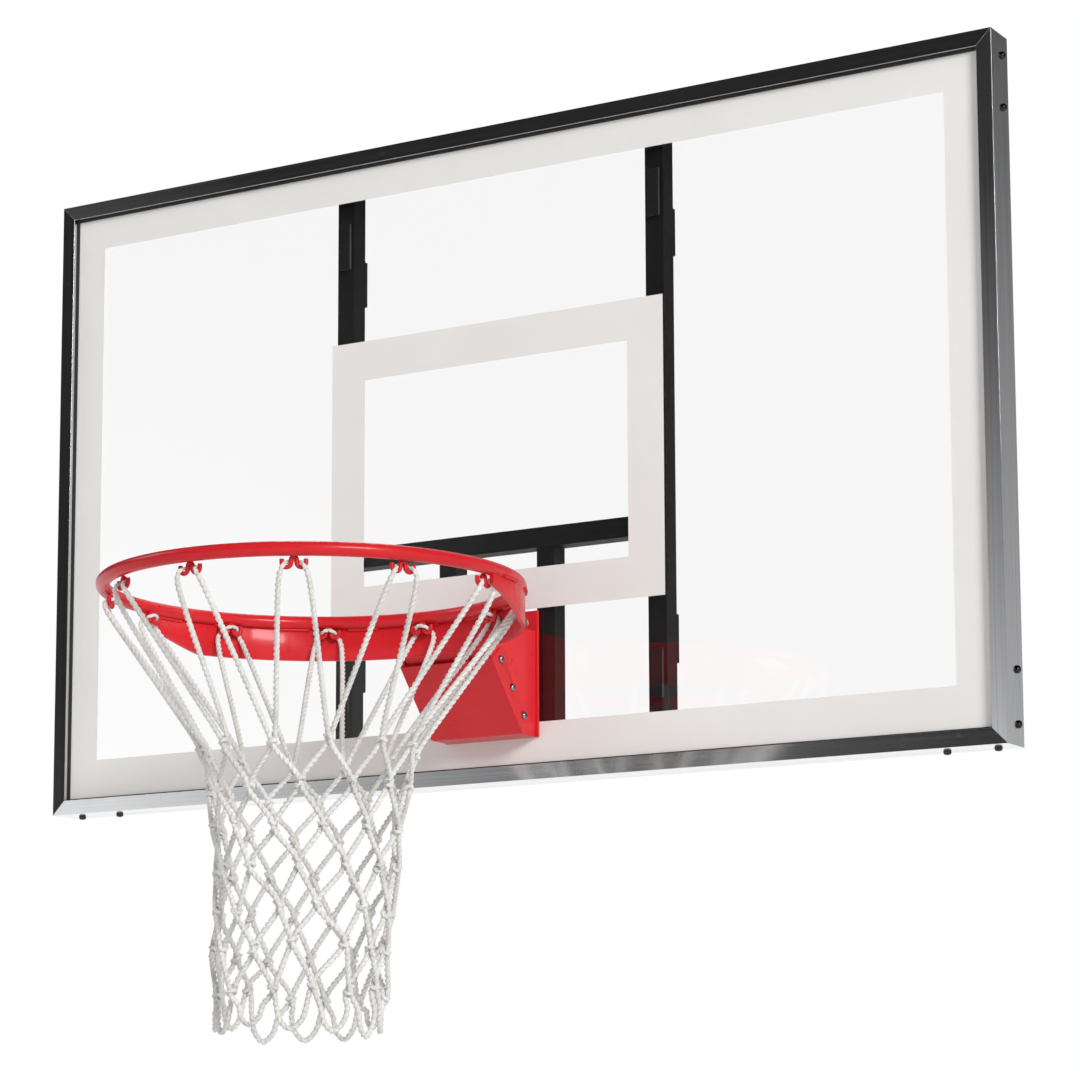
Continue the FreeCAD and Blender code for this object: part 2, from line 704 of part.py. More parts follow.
def make_housing():
    pin = ("-pin_reach", "pin_height", "pin_radius + pin_gap / 2")
    side = [
        ("plate_step", "goal_bottom"),
        ("-foot_reach", "goal_bottom"),
        ("-nose_reach", "nose_height"),
        ("-brow_reach", "brow_height"),
        ("-brow_reach", "gusset_top"),
        ("plate_step", "gusset_top"),
    ]
    web = side_profile("GussetWeb", side, "gusset_thickness", [pin])
    doc.recompute()
    corner = FreeCAD.Vector(0, -size["brow_reach"], size["gusset_top"])
    reaches = [edge.CenterOfMass.distanceToPoint(corner) for edge in web.Shape.Edges]
    blank = web.Tip
    fillet = web.newObject("PartDesign::Fillet", "GussetRound")
    fillet.Base = (blank, [f"Edge{reaches.index(min(reaches)) + 1}"])
    bind(fillet, "Radius", "gusset_round")
    place(web, "gusset_half_width - gusset_thickness / 2", "front_plane", "base_level")
    strip = [
        on_slope("0", "0"),
        on_slope("cover_length", "0"),
        on_slope("cover_length", "flange_thickness"),
        on_slope("flange_thickness", "flange_thickness"),
    ]
    flange = side_profile("GussetFlange", strip, "flange_width")
    place(flange, "gusset_inner - flange_width / 2", "front_plane", "base_level")
    holes = [screw_hole(f"CoverHole{index}", spot, X_AXIS, "cover_screw_length + screw_gap")
             for index, spot in cover_screw_places()]
    right = cut("RightGusset", fuse("GussetBent", web, flange), *holes)
    node(right, "right_gusset")
    node(mirrored("LeftGusset", right, X_AXIS), "left_gusset")

    top = centred_box(
        "TopBridge",
        "2 * gusset_inner",
        "bridge_reach + plate_step",
        "bridge_thickness",
        "front_plane - bridge_reach",
        "base_level + gusset_top - bridge_thickness",
    )
    node(top, "top_bridge")
    shelf = side_profile("SpringShelf", [
        on_slope("shelf_start", "shelf_front"),
        on_slope("shelf_end", "shelf_front"),
        on_slope("shelf_end", "shelf_rear"),
        on_slope("shelf_start", "shelf_rear"),
    ], "2 * gusset_inner")
    node(place(shelf, "0", "front_plane", "base_level"), "spring_shelf")
    cover = side_profile("CoverSheet", [
        on_slope("cover_length", "-cover_thickness"),
        on_slope("0", "-cover_thickness"),
        ("-foot_reach", "goal_bottom - cover_thickness"),
        ("plate_step", "goal_bottom - cover_thickness"),
        ("plate_step", "goal_bottom"),
        on_slope("0", "0"),
        on_slope("cover_length", "0"),
    ], "2 * gusset_half_width")
    place(cover, "0", "front_plane", "base_level")
    flap = side_profile("CoverFlap", [
        on_slope("0", "-cover_thickness"),
        on_slope("cover_length", "-cover_thickness"),
        on_slope("cover_length", "cover_side"),
        on_slope("0", "cover_side"),
    ], "cover_thickness")
    place(flap, "gusset_half_width + cover_thickness / 2", "front_plane", "base_level")
    bent = fuse("CoverBent", cover, flap, mirrored("CoverFlapLeft", flap, X_AXIS))
    cover_holes = group("CoverHoles", *holes)
    left_holes = mirrored("CoverHolesLeft", cover_holes, X_AXIS)
    node(cut("FrontCover", bent, cover_holes, left_holes), "front_cover")
    screws = [screw(f"CoverScrew{index}", spot, X_AXIS, "cover_screw_length")
              for index, spot in cover_screw_places()]
    right_screws = group("CoverScrewsRight", *screws)
    left_screws = mirrored("CoverScrewsLeft", right_screws, X_AXIS)
    node(group("CoverScrews", right_screws, left_screws), "cover_screws")


def make_pin():
    level = in_goal("-gusset_half_width", "(-pin_reach)", "pin_height")
    shank = cylinder("PinShank", "pin_radius", "2 * gusset_half_width + pin_end", level, X_AXIS)
    head = cylinder("PinHead", "pin_head_radius", "pin_head_height", level, -X_AXIS)
    node(fuse("HingePin", shank, head), "hinge_pin")
    end = in_goal("gusset_half_width", "(-pin_reach)", "pin_height")
    disc = cylinder("ClipDisc", "pin_head_radius", "clip_thickness", end, X_AXIS)
    hole = cylinder("ClipHole", "pin_radius + pin_gap / 2", "clip_thickness", end, X_AXIS)
    node(cut("PinClip", disc, hole), "pin_clip")


# Moving half of the goal

def make_hinge_bracket():
    pin = ("-pin_reach", "pin_height", "pin_radius + pin_gap")
    side = [
        ("-arm_forward", "arm_top"),
        ("-arm_forward", "arm_bottom"),
        on_slope("swing_end", "swing_front"),
        on_slope("swing_start", "swing_front"),
        on_slope("swing_start", "swing_back"),
        ("arm_back - pin_reach", "pin_height - arm_back"),
        ("arm_back - pin_reach", "arm_top"),
    ]
    arm = side_profile("BracketArm", side, "arm_thickness", [pin])
    place(arm, "arm_half_width - arm_thickness / 2", "front_plane", "base_level")
    width = "2 * (arm_half_width - arm_thickness)"
    swing = side_profile("SwingPlate", [
        on_slope("swing_start", "swing_front"),
        on_slope("swing_end", "swing_front"),
        on_slope("swing_end", "swing_back"),
        on_slope("swing_start", "swing_back"),
    ], width)
    place(swing, "0", "front_plane", "base_level")
    tongue_rear = "(pin_reach + hinge_tube_radius + tongue_gap)"
    tongue = centred_box(
        "Tongue",
        width,
        f"arm_forward - {tongue_rear}",
        "tongue_thickness",
        "front_plane - arm_forward",
        "base_level + arm_top - tongue_thickness",
    )
    blank = fuse("BracketBlank", arm, mirrored("BracketArmLeft", arm, X_AXIS), swing, tongue)
    low = in_goal("0", "(-ring_reach)", "(arm_bottom - arm_top)")
    brace_face = cylinder("BraceFace", "brace_outer + weld_gap", "3 * arm_top", low, Z_AXIS)
    node(cut("HingeBracket", blank, brace_face), "hinge_bracket")
    start = in_goal(f"-({width}) / 2", "(-pin_reach)", "pin_height")
    sleeve = cylinder("HingeSleeve", "hinge_tube_radius", width, start, X_AXIS)
    bore = cylinder("HingeBore", "pin_radius + pin_gap", width, start, X_AXIS)
    node(cut("HingeTube", sleeve, bore), "hinge_tube")


def make_ring():
    torus = doc.addObject("Part::Torus", "RingRod")
    bind(torus, "Radius1", "ring_radius")
    bind(torus, "Radius2", "rod_radius")
    place(torus, *in_goal("0", "(-ring_reach)", "ring_height"))
    node(torus, "ring")
    seat = doc.addObject("Part::Torus", "BraceSeat")
    bind(seat, "Radius1", "ring_radius")
    bind(seat, "Radius2", "rod_radius + weld_gap")
    place(seat, *in_goal("0", "(-ring_reach)", "ring_height"))
    height = "ring_height - rod_radius + brace_lap - brace_bottom"
    base = in_goal("0", "(-ring_reach)", "brace_bottom")
    outer = cylinder("BraceOuter", "brace_outer", height, base, Z_AXIS)
    inner = cylinder("BraceInner", "brace_outer - brace_thickness", height, base, Z_AXIS)
    front_half = centred_box(
        "BraceFront",
        "3 * brace_outer",
        "2 * brace_outer",
        height,
        "front_plane - ring_reach - 2 * brace_outer",
        "base_level + brace_bottom",
    )
    taper = side_profile("BraceTaper", [
        ("0", "brace_bottom - rod_radius"),
        ("brace_taper", "brace_bottom - rod_radius"),
        ("brace_taper", "brace_bottom"),
        ("0", "brace_tip_height"),
    ], "3 * brace_outer")
    place(taper, "0", "front_plane - ring_reach", "base_level")
    node(cut("Brace", outer, inner, front_half, taper, seat), "brace")


# Springs

def biarc(start, heading, end, end_heading):
    """Two tangent arcs from start to end that leave and arrive along the given unit headings."""
    gap = end - start
    both = heading + end_heading
    square = 2 * heading.dot(end_heading) - 2
    linear = -2 * gap.dot(both)
    root = math.sqrt(linear * linear - 4 * square * gap.dot(gap))
    reach = (-linear - root) / (2 * square)
    first_pole = start + heading * reach
    second_pole = end - end_heading * reach
    joint = (first_pole + second_pole) * 0.5
    return [tangent_arc(start, first_pole, joint), tangent_arc(joint, second_pole, end)]


def tangent_arc(start, pole, end):
    middle = (start + end) * 0.5
    half_chord = start.distanceToPoint(middle)
    rise = pole - middle
    turn = math.atan2(rise.Length, half_chord)
    crown = middle + rise.normalize() * half_chord * math.tan(turn / 2)
    return Part.Arc(start, crown, end).toShape()


def helix_point(turn, climb):
    radius = size["spring_radius"]
    angle = 2 * math.pi * turn
    level = size["spring_wire"] / 2 + size["spring_end_gap"] + climb * turn
    point = FreeCAD.Vector(radius * math.cos(angle), radius * math.sin(angle), level)
    heading = FreeCAD.Vector(-radius * math.sin(angle), radius * math.cos(angle), climb / (2 * math.pi))
    return point, heading.normalize()


def swept_wire(edges, start, heading, radius):
    path = Part.Wire(edges)
    section = Part.Wire(Part.Circle(start, heading, radius).toShape())
    return path.makePipeShell([section], True, False)


def spring_shape():
    wire = size["spring_wire"]
    turns = size["spring_turns"]
    climb = (size["spring_length"] - wire - 2 * size["spring_end_gap"]) / turns
    steps = int(turns) * 4
    stations = [helix_point(turns * index / steps, climb) for index in range(steps + 1)]
    edges = []
    for (start, heading), (end, end_heading) in zip(stations, stations[1:]):
        edges += biarc(start, heading, end, end_heading)
    shape = swept_wire(edges, stations[0][0], stations[0][1], wire / 2)
    samples = [edge.valueAt(edge.FirstParameter) for edge in edges]
    apart = 4
    gaps = [a.distanceToPoint(b) for i, a in enumerate(samples) for b in samples[i + apart:]]
    print("spring: least gap to itself", round(min(gaps) - wire, 2), "mm")
    return shape


def make_springs():
    shape = spring_shape()
    inward = slope_normal()
    turn = FreeCAD.Rotation(Z_AXIS, inward)
    length = size["slope_length"]
    along = FreeCAD.Vector(0, -size["slope_run"] / length, size["slope_rise"] / length)
    front = size["front_plane"] - size["foot_reach"]
    foot = FreeCAD.Vector(0, front, size["base_level"] + size["goal_bottom"])
    seat = foot + along * size["spring_level"] + inward * size["swing_back"]
    for label, side in (("left_spring", -1), ("right_spring", 1)):
        spring = doc.addObject("Part::Feature", label)
        spring.Shape = shape
        spring.Placement = FreeCAD.Placement(seat + X_AXIS * side * size["spring_offset"], turn)
        node(spring, label)
    ends = (("front_spring_seats", "swing_back", inward), ("rear_spring_seats", "shelf_front", -inward))
    for label, inset, direction in ends:
        seats = []
        for side in "-+":
            spot = in_goal(f"{side}spring_offset", *on_slope("spring_level", inset))
            name = f"{label}{'LR'[side == '+']}"
            seats.append(cylinder(name, "spring_seat_radius", "spring_seat_height", spot, direction))
        node(group(label + "_pair", *seats), label)


# Hooks and net

def around_ring(shape, turn):
    copy = shape.copy()
    copy.rotate(FreeCAD.Vector(0, 0, 0), Z_AXIS, turn)
    return copy


def goal_axis():
    depth = size["front_plane"] - size["ring_reach"]
    return FreeCAD.Vector(0, depth, size["base_level"] + size["ring_height"])


def hook_levels():
    """Radius of the hook's plane and, from the ring's centre, the heights of its upper bend and its curls."""
    touch = size["rod_radius"] + size["hook_wire"] / 2 + size["weld_gap"]
    top = -math.sqrt(touch ** 2 - size["hook_inset"] ** 2)
    return size["ring_radius"] - size["hook_inset"], top, top - size["hook_bend"] - size["hook_stem"]


def hook_shape():
    """One W of round wire: two open curls side by side under a bend that meets the ring's rod."""
    plane, top, low = hook_levels()
    bend = size["hook_bend"]
    curl = size["hook_curl"]
    outer = bend + 2 * curl

    def spot(along, height):
        return FreeCAD.Vector(plane, along, height)

    def line(start, end):
        return Part.LineSegment(start, end).toShape()

    def arc(start, middle, end):
        return Part.Arc(start, middle, end).toShape()

    tip = low + size["hook_tip"]
    shoulder = top - bend
    edges = [
        line(spot(-outer, tip), spot(-outer, low)),
        arc(spot(-outer, low), spot(-bend - curl, low - curl), spot(-bend, low)),
        line(spot(-bend, low), spot(-bend, shoulder)),
        arc(spot(-bend, shoulder), spot(0, top), spot(bend, shoulder)),
        line(spot(bend, shoulder), spot(bend, low)),
        arc(spot(bend, low), spot(bend + curl, low - curl), spot(outer, low)),
        line(spot(outer, low), spot(outer, tip)),
    ]
    return swept_wire(edges, spot(-outer, tip), -Z_AXIS, size["hook_wire"] / 2)


def make_hooks():
    shape = hook_shape()
    count = int(size["hook_count"])
    hooks = doc.addObject("Part::Feature", "NetHooks")
    copies = [around_ring(shape, FULL_TURN * index / count) for index in range(count)]
    hooks.Shape = Part.makeCompound(copies)
    hooks.Placement = FreeCAD.Placement(goal_axis(), FreeCAD.Rotation())
    node(hooks, "net_hooks")


def net_radius(drop):
    plane, top, low = hook_levels()
    bottom = size["net_bottom_radius"]
    return bottom + (plane - size["hook_wire"] - bottom) * math.exp(-drop / size["net_gather"])


def net_point(angle, radius, drop, level):
    full = size["net_first_drop"] + (size["net_rows"] - 1) * size["net_row_pitch"]
    lean = -size["net_lean"] * (max(drop, 0) / full) ** 2
    return FreeCAD.Vector(radius * math.cos(angle) + lean, radius * math.sin(angle), level - drop)


def net_shape():
    """Cords of square section between flat knots, joined into one closed lattice."""
    plane, top, low = hook_levels()
    count = int(size["hook_count"])
    rows = int(size["net_rows"])
    half = size["cord_width"] / 2
    curl = size["hook_curl"]
    pinch = (curl - size["hook_wire"] / 2 - size["cord_gap"]) * math.sqrt(0.5)
    step = 2 * math.pi / count
    facets = []

    def quad(a, b, c, d):
        facets.extend([(a, b, c), (a, c, d)])

    def knot(row, column):
        """Corners of a knot: left, bottom, right, top, each as an inner and an outer point."""
        drop = size["net_first_drop"] + row * size["net_row_pitch"]
        radius = net_radius(drop)
        angle = (column + 0.5 * ((row + 1) % 2)) * step
        wide = size["net_knot_width"] / 2
        tall = size["net_knot_height"] / 2
        corners = {}
        places = (("left", -wide, 0), ("bottom", 0, tall), ("right", wide, 0), ("top", 0, -tall))
        for key, across, down in places:
            turn = angle + across / radius
            corners[key] = [net_point(turn, radius + side, drop + down, low) for side in (-half, half)]
        return corners

    def strand(upper_a, upper_b, lower_a, lower_b):
        """A cord from the side upper_a-upper_b down to the side lower_a-lower_b, seen from outside."""
        quad(upper_a[1], lower_a[1], lower_b[1], upper_b[1])
        quad(upper_b[0], lower_b[0], lower_a[0], upper_a[0])
        quad(upper_a[0], lower_a[0], lower_a[1], upper_a[1])
        quad(upper_b[1], lower_b[1], lower_b[0], upper_b[0])

    def loop_end(column, side):
        """A cord's end pinched in one curl of a hook, with an opening for the strand that leaves it."""
        angle = column * step
        middle = side * (size["hook_bend"] + curl)
        spread = FreeCAD.Vector(-math.sin(angle), math.cos(angle), 0)
        outward = FreeCAD.Vector(math.cos(angle), math.sin(angle), 0)
        inner = plane - size["hook_wire"]
        outer = plane + size["hook_wire"] / 2

        def corner(across, radius, up):
            return outward * radius + spread * (middle + across) + FreeCAD.Vector(0, 0, low + up)

        left_low, right_low = corner(-pinch, inner, -pinch), corner(pinch, inner, -pinch)
        left_high, right_high = corner(-pinch, inner, pinch), corner(pinch, inner, pinch)
        left_low_out, right_low_out = corner(-pinch, outer, -pinch), corner(pinch, outer, -pinch)
        left_high_out, right_high_out = corner(-pinch, outer, pinch), corner(pinch, outer, pinch)
        quad(left_low_out, right_low_out, right_high_out, left_high_out)
        quad(left_high, left_high_out, right_high_out, right_high)
        quad(left_low_out, left_low, right_low, right_low_out)
        quad(left_low, left_low_out, left_high_out, left_high)
        quad(right_low_out, right_low, right_high, right_high_out)
        return (left_high, left_low), (right_high, right_low)

    knots = [[knot(row, column) for column in range(count)] for row in range(rows)]
    for column in range(count):
        left, right = loop_end(column, 1)
        below = knots[0][column]
        strand(left, right, below["left"], below["top"])
        left, right = loop_end((column + 1) % count, -1)
        strand(left, right, below["top"], below["right"])
    for row in range(rows):
        for column in range(count):
            here = knots[row][column]
            quad(here["left"][1], here["bottom"][1], here["right"][1], here["top"][1])
            quad(here["top"][0], here["right"][0], here["bottom"][0], here["left"][0])
            if row == rows - 1:
                quad(here["left"][0], here["bottom"][0], here["bottom"][1], here["left"][1])
                quad(here["bottom"][0], here["right"][0], here["right"][1], here["bottom"][1])
                continue
            shift = (row + 1) % 2
            right_below = knots[row + 1][(column + shift) % count]
            left_below = knots[row + 1][(column + shift - 1) % count]
            strand(here["bottom"], here["right"], right_below["left"], right_below["top"])
            strand(here["left"], here["bottom"], left_below["top"], left_below["right"])
    faces = [Part.Face(Part.makePolygon([a, b, c, a])) for a, b, c in facets]
    shell = Part.makeShell(faces)
    shell.sewShape()
    solid = Part.makeSolid(shell)
    if solid.Volume < 0:
        solid.reverse()
    return solid


def make_net():
    net = doc.addObject("Part::Feature", "Net")
    net.Shape = net_shape()
    net.Placement = FreeCAD.Placement(goal_axis(), FreeCAD.Rotation())
    node(net, "net")


def write_nodes():
    os.makedirs("parts", exist_ok=True)
    faults = []
    for thing in doc.Objects:
        if any(word in thing.State for word in ("Invalid", "Error")):
            faults.append(f"{thing.Name}: {thing.State}")
    for thing in nodes:
        shape = thing.Shape
        if shape.isNull() or not shape.isValid() or not shape.Solids:
            faults.append(f"{thing.Label}: no valid solid")
    if faults:
        raise RuntimeError("; ".join(faults))
    for thing in nodes:
        thing.Shape.exportStep(os.path.join("parts", thing.Label + ".step"))
        print(thing.Label, len(thing.Shape.Solids), round(thing.Shape.Volume))


make_corner_fittings(make_rails())
make_panel()
make_tubes()
make_mounts()
make_goal_fixing()
make_housing()
make_pin()
make_hinge_bracket()
make_ring()
make_springs()
make_hooks()
make_net()
doc.recompute()
write_nodes()
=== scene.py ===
import json
import math
import random

import bmesh
import bpy
import numpy as np
from mathutils import Matrix, Vector


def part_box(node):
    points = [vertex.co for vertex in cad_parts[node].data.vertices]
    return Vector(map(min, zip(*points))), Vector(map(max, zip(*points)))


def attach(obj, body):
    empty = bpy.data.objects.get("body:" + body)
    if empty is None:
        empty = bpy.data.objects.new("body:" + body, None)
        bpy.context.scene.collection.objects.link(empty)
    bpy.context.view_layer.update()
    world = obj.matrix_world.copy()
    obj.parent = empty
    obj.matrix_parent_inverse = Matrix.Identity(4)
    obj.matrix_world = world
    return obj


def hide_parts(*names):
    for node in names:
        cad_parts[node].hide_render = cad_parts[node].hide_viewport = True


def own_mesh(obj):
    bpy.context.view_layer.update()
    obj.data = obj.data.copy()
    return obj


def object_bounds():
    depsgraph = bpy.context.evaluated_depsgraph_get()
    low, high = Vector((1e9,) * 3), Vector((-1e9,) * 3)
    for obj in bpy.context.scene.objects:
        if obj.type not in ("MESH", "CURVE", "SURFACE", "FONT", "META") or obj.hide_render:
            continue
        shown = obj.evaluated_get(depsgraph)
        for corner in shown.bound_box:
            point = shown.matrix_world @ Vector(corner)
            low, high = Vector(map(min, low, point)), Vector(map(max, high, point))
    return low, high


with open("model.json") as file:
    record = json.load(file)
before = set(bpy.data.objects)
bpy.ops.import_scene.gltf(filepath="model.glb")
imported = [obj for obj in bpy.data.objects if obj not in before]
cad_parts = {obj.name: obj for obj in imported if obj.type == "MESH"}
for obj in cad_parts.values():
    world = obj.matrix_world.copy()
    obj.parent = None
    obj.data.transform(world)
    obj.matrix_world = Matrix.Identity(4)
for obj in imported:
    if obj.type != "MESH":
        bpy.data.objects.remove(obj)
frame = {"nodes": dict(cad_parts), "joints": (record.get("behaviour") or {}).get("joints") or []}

# Clear basketball backboard with a breakaway goal: finishes, print edge, net, springs, welds and screws.
# Metres, in the CAD model's frame: X right, Y towards the rear, Z up.

cad_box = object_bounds()
scene = bpy.context.scene
nodes = frame["nodes"]
joint = frame["joints"][0]
MILLIMETRE = 0.001

# Places read from the frame
ring_low, ring_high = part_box("ring")
RING_CENTRE = (ring_low + ring_high) / 2
ROD_RADIUS = (ring_high.z - ring_low.z) / 2
RING_RADIUS = (ring_high.x - ring_low.x) / 2 - ROD_RADIUS
HOOK_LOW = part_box("net_hooks")[0].z
NET_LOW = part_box("net")[0].z


# Node material helpers

def start_material(name, colour, roughness, metallic=0.0):
    material = bpy.data.materials.new(name)
    material.use_nodes = True
    tree = material.node_tree
    shader = tree.nodes["Principled BSDF"]
    shader.inputs["Base Color"].default_value = (*colour, 1)
    shader.inputs["Roughness"].default_value = roughness
    shader.inputs["Metallic"].default_value = metallic
    return material, tree, shader


def set_inputs(shader, **values):
    for name, value in values.items():
        shader.inputs[name.replace("_", " ")].default_value = value


def coordinates(tree, stretch=(1, 1, 1), source="Object"):
    places = tree.nodes.new("ShaderNodeTexCoord")
    mapping = tree.nodes.new("ShaderNodeMapping")
    mapping.inputs["Scale"].default_value = stretch
    tree.links.new(places.outputs[source], mapping.inputs["Vector"])
    return mapping.outputs["Vector"]


def noise(tree, vector, scale, detail=3.0, roughness=0.55):
    texture = tree.nodes.new("ShaderNodeTexNoise")
    set_inputs(texture, Scale=scale, Detail=detail, Roughness=roughness)
    tree.links.new(vector, texture.inputs["Vector"])
    return texture.outputs["Fac"]


def spread(tree, value, low, high, start=0.3, end=0.7):
    remap = tree.nodes.new("ShaderNodeMapRange")
    remap.inputs["From Min"].default_value = start
    remap.inputs["From Max"].default_value = end
    remap.inputs["To Min"].default_value = low
    remap.inputs["To Max"].default_value = high
    tree.links.new(value, remap.inputs["Value"])
    return remap.outputs["Result"]


def combine(tree, operation, first, second):
    maths = tree.nodes.new("ShaderNodeMath")
    maths.operation = operation
    for socket, value in zip(maths.inputs, (first, second)):
        if isinstance(value, (int, float)):
            socket.default_value = value
        else:
            tree.links.new(value, socket)
    return maths.outputs["Value"]


def ramp(tree, value, stops):
    band = tree.nodes.new("ShaderNodeValToRGB")
    elements = band.color_ramp.elements
    while len(elements) < len(stops):
        elements.new(0.5)
    for element, (position, colour) in zip(elements, stops):
        element.position = position
        element.color = (*colour, 1)
    tree.links.new(value, band.inputs["Fac"])
    return band.outputs["Color"]


def greys(*stops):
    return [(position, (shade, shade, shade)) for position, shade in stops]


def bump(tree, shader, height, distance, strength=1.0):
    relief = tree.nodes.new("ShaderNodeBump")
    set_inputs(relief, Strength=strength, Distance=distance)
    tree.links.new(height, relief.inputs["Height"])
    tree.links.new(relief.outputs["Normal"], shader.inputs["Normal"])
    return relief


# Materials

def clear_acrylic():
    """Polished sheet with faint wiping haze and hairline scratches."""
    material, tree, shader = start_material("clear_acrylic", (0.998, 0.999, 0.999), 0.02)
    set_inputs(shader, Transmission_Weight=1.0, IOR=1.49)
    haze = noise(tree, coordinates(tree), 6.0, 4.0)
    tree.links.new(spread(tree, haze, 0.0, 0.035), shader.inputs["Roughness"])
    scratches = noise(tree, coordinates(tree, (40, 1, 900)), 1.0, 2.0)
    bump(tree, shader, scratches, 0.02 * MILLIMETRE, 0.05)
    return material


def white_ink():
    """Screen-printed white: slightly uneven coverage and a fine mesh grain."""
    material, tree, shader = start_material("white_ink", (0.79, 0.775, 0.755), 0.5)
    cloud = noise(tree, coordinates(tree), 5.0, 5.0)
    shade = ramp(tree, cloud, [(0.3, (0.77, 0.755, 0.735)), (0.7, (0.81, 0.795, 0.775))])
    tree.links.new(shade, shader.inputs["Base Color"])
    tree.links.new(spread(tree, cloud, 0.45, 0.6), shader.inputs["Roughness"])
    bump(tree, shader, noise(tree, coordinates(tree), 1400.0, 2.0), 0.05 * MILLIMETRE, 0.3)
    return material


def aluminium(name, stretch, dark, light, smooth, rough, tilt_x=0.0):
    """Satin extrusion with die lines, smudges and scuffs; tilt_x leans the shading normal along X."""
    material, tree, shader = start_material(name, (0.8, 0.81, 0.83), 0.25, 1.0)
    lines = noise(tree, coordinates(tree, stretch), 1.0, 4.0, 0.65)
    smudge = noise(tree, coordinates(tree), 9.0, 4.0)
    scuff = noise(tree, coordinates(tree), 55.0, 5.0, 0.7)
    shade = ramp(tree, lines, [(0.3, dark), (0.7, light)])
    tree.links.new(shade, shader.inputs["Base Color"])
    satin = combine(tree, "ADD", spread(tree, lines, smooth, rough), spread(tree, smudge, 0.0, 0.04))
    marks = spread(tree, scuff, 0.0, 0.15, 0.64, 0.72)
    tree.links.new(combine(tree, "ADD", satin, marks), shader.inputs["Roughness"])
    relief = bump(tree, shader, lines, 0.04 * MILLIMETRE, 0.08)
    surface = tree.nodes.new("ShaderNodeNewGeometry")
    tilt = tree.nodes.new("ShaderNodeVectorMath")
    tilt.inputs[1].default_value = (tilt_x, 0, 0)
    tree.links.new(surface.outputs["Normal"], tilt.inputs[0])
    unit = tree.nodes.new("ShaderNodeVectorMath")
    unit.operation = "NORMALIZE"
    tree.links.new(tilt.outputs["Vector"], unit.inputs[0])
    tree.links.new(unit.outputs["Vector"], relief.inputs["Normal"])
    return material


def powder_coat(name, dark, light, roughness, shine, coat):
    """Baked powder paint: orange-peel relief, uneven gloss and slightly rubbed patches."""
    material, tree, shader = start_material(name, light, roughness)
    set_inputs(shader, Specular_IOR_Level=shine, Coat_Weight=coat, Coat_Roughness=0.1)
    cloud = noise(tree, coordinates(tree), 14.0, 5.0)
    tree.links.new(ramp(tree, cloud, [(0.28, dark), (0.66, light)]), shader.inputs["Base Color"])
    grain = noise(tree, coordinates(tree), 120.0, 4.0)
    low, high = roughness - 0.03, roughness + 0.05
    tree.links.new(spread(tree, grain, low, high), shader.inputs["Roughness"])
    bump(tree, shader, noise(tree, coordinates(tree), 420.0, 2.0), 0.06 * MILLIMETRE, 0.1)
    return material


def plated(name, dark, light, smooth, rough):
    """Plated steel with a faint cloudy passivation."""
    material, tree, shader = start_material(name, light, rough, 1.0)
    cloud = noise(tree, coordinates(tree), 160.0, 4.0)
    tree.links.new(ramp(tree, cloud, [(0.3, dark), (0.7, light)]), shader.inputs["Base Color"])
    tree.links.new(spread(tree, cloud, smooth, rough), shader.inputs["Roughness"])
    bump(tree, shader, noise(tree, coordinates(tree), 900.0, 3.0), 0.03 * MILLIMETRE, 0.4)
    return material


def moulded(name, dark, light, roughness, grain):
    """Rubber or nylon with a moulded grain."""
    material, tree, shader = start_material(name, light, roughness)
    cloud = noise(tree, coordinates(tree), 30.0, 4.0)
    tree.links.new(ramp(tree, cloud, [(0.3, dark), (0.7, light)]), shader.inputs["Base Color"])
    tree.links.new(spread(tree, cloud, roughness - 0.08, roughness + 0.08), shader.inputs["Roughness"])
    bump(tree, shader, noise(tree, coordinates(tree), grain, 3.0), 0.1 * MILLIMETRE, 0.4)
    return material


def twine():
    """White laid twine: fibres along each ply, painted shade making it greyer where the fibre bump is low,
    and lightly soiled.
    """
    material, tree, shader = start_material("white_twine", (0.8, 0.79, 0.76), 0.85)
    set_inputs(shader, Sheen_Weight=0.25, Sheen_Roughness=0.5)
    fibres = noise(tree, coordinates(tree, (6, 60, 1), "UV"), 1.0, 4.0, 0.65)
    soil = noise(tree, coordinates(tree), 28.0, 5.0)
    # Painted shade mixed with real soil: the fibre noise darkens the colour where the bump is low, and the
    # soil noise adds dirt.
    groove_shade_part = combine(tree, "MULTIPLY", fibres, 0.55)
    soil_part = combine(tree, "MULTIPLY", soil, 0.45)
    groove_shade_and_soil = combine(tree, "ADD", groove_shade_part, soil_part)
    stops = [(0.32, (0.5, 0.485, 0.45)), (0.5, (0.72, 0.71, 0.68)), (0.68, (0.86, 0.855, 0.84))]
    tree.links.new(ramp(tree, groove_shade_and_soil, stops), shader.inputs["Base Color"])
    bump(tree, shader, fibres, 0.5 * MILLIMETRE, 0.5)
    return material


def paint(names, material):
    for name in names:
        mesh = nodes[name].data
        mesh.materials.clear()
        mesh.materials.append(material)


ACRYLIC = clear_acrylic()
INK = white_ink()
LINES_ALONG_X = (3, 700, 700)
LINES_ALONG_Z = (700, 700, 3)
METAL_DARK = (0.5, 0.505, 0.52)
METAL_LIGHT = (0.64, 0.645, 0.655)
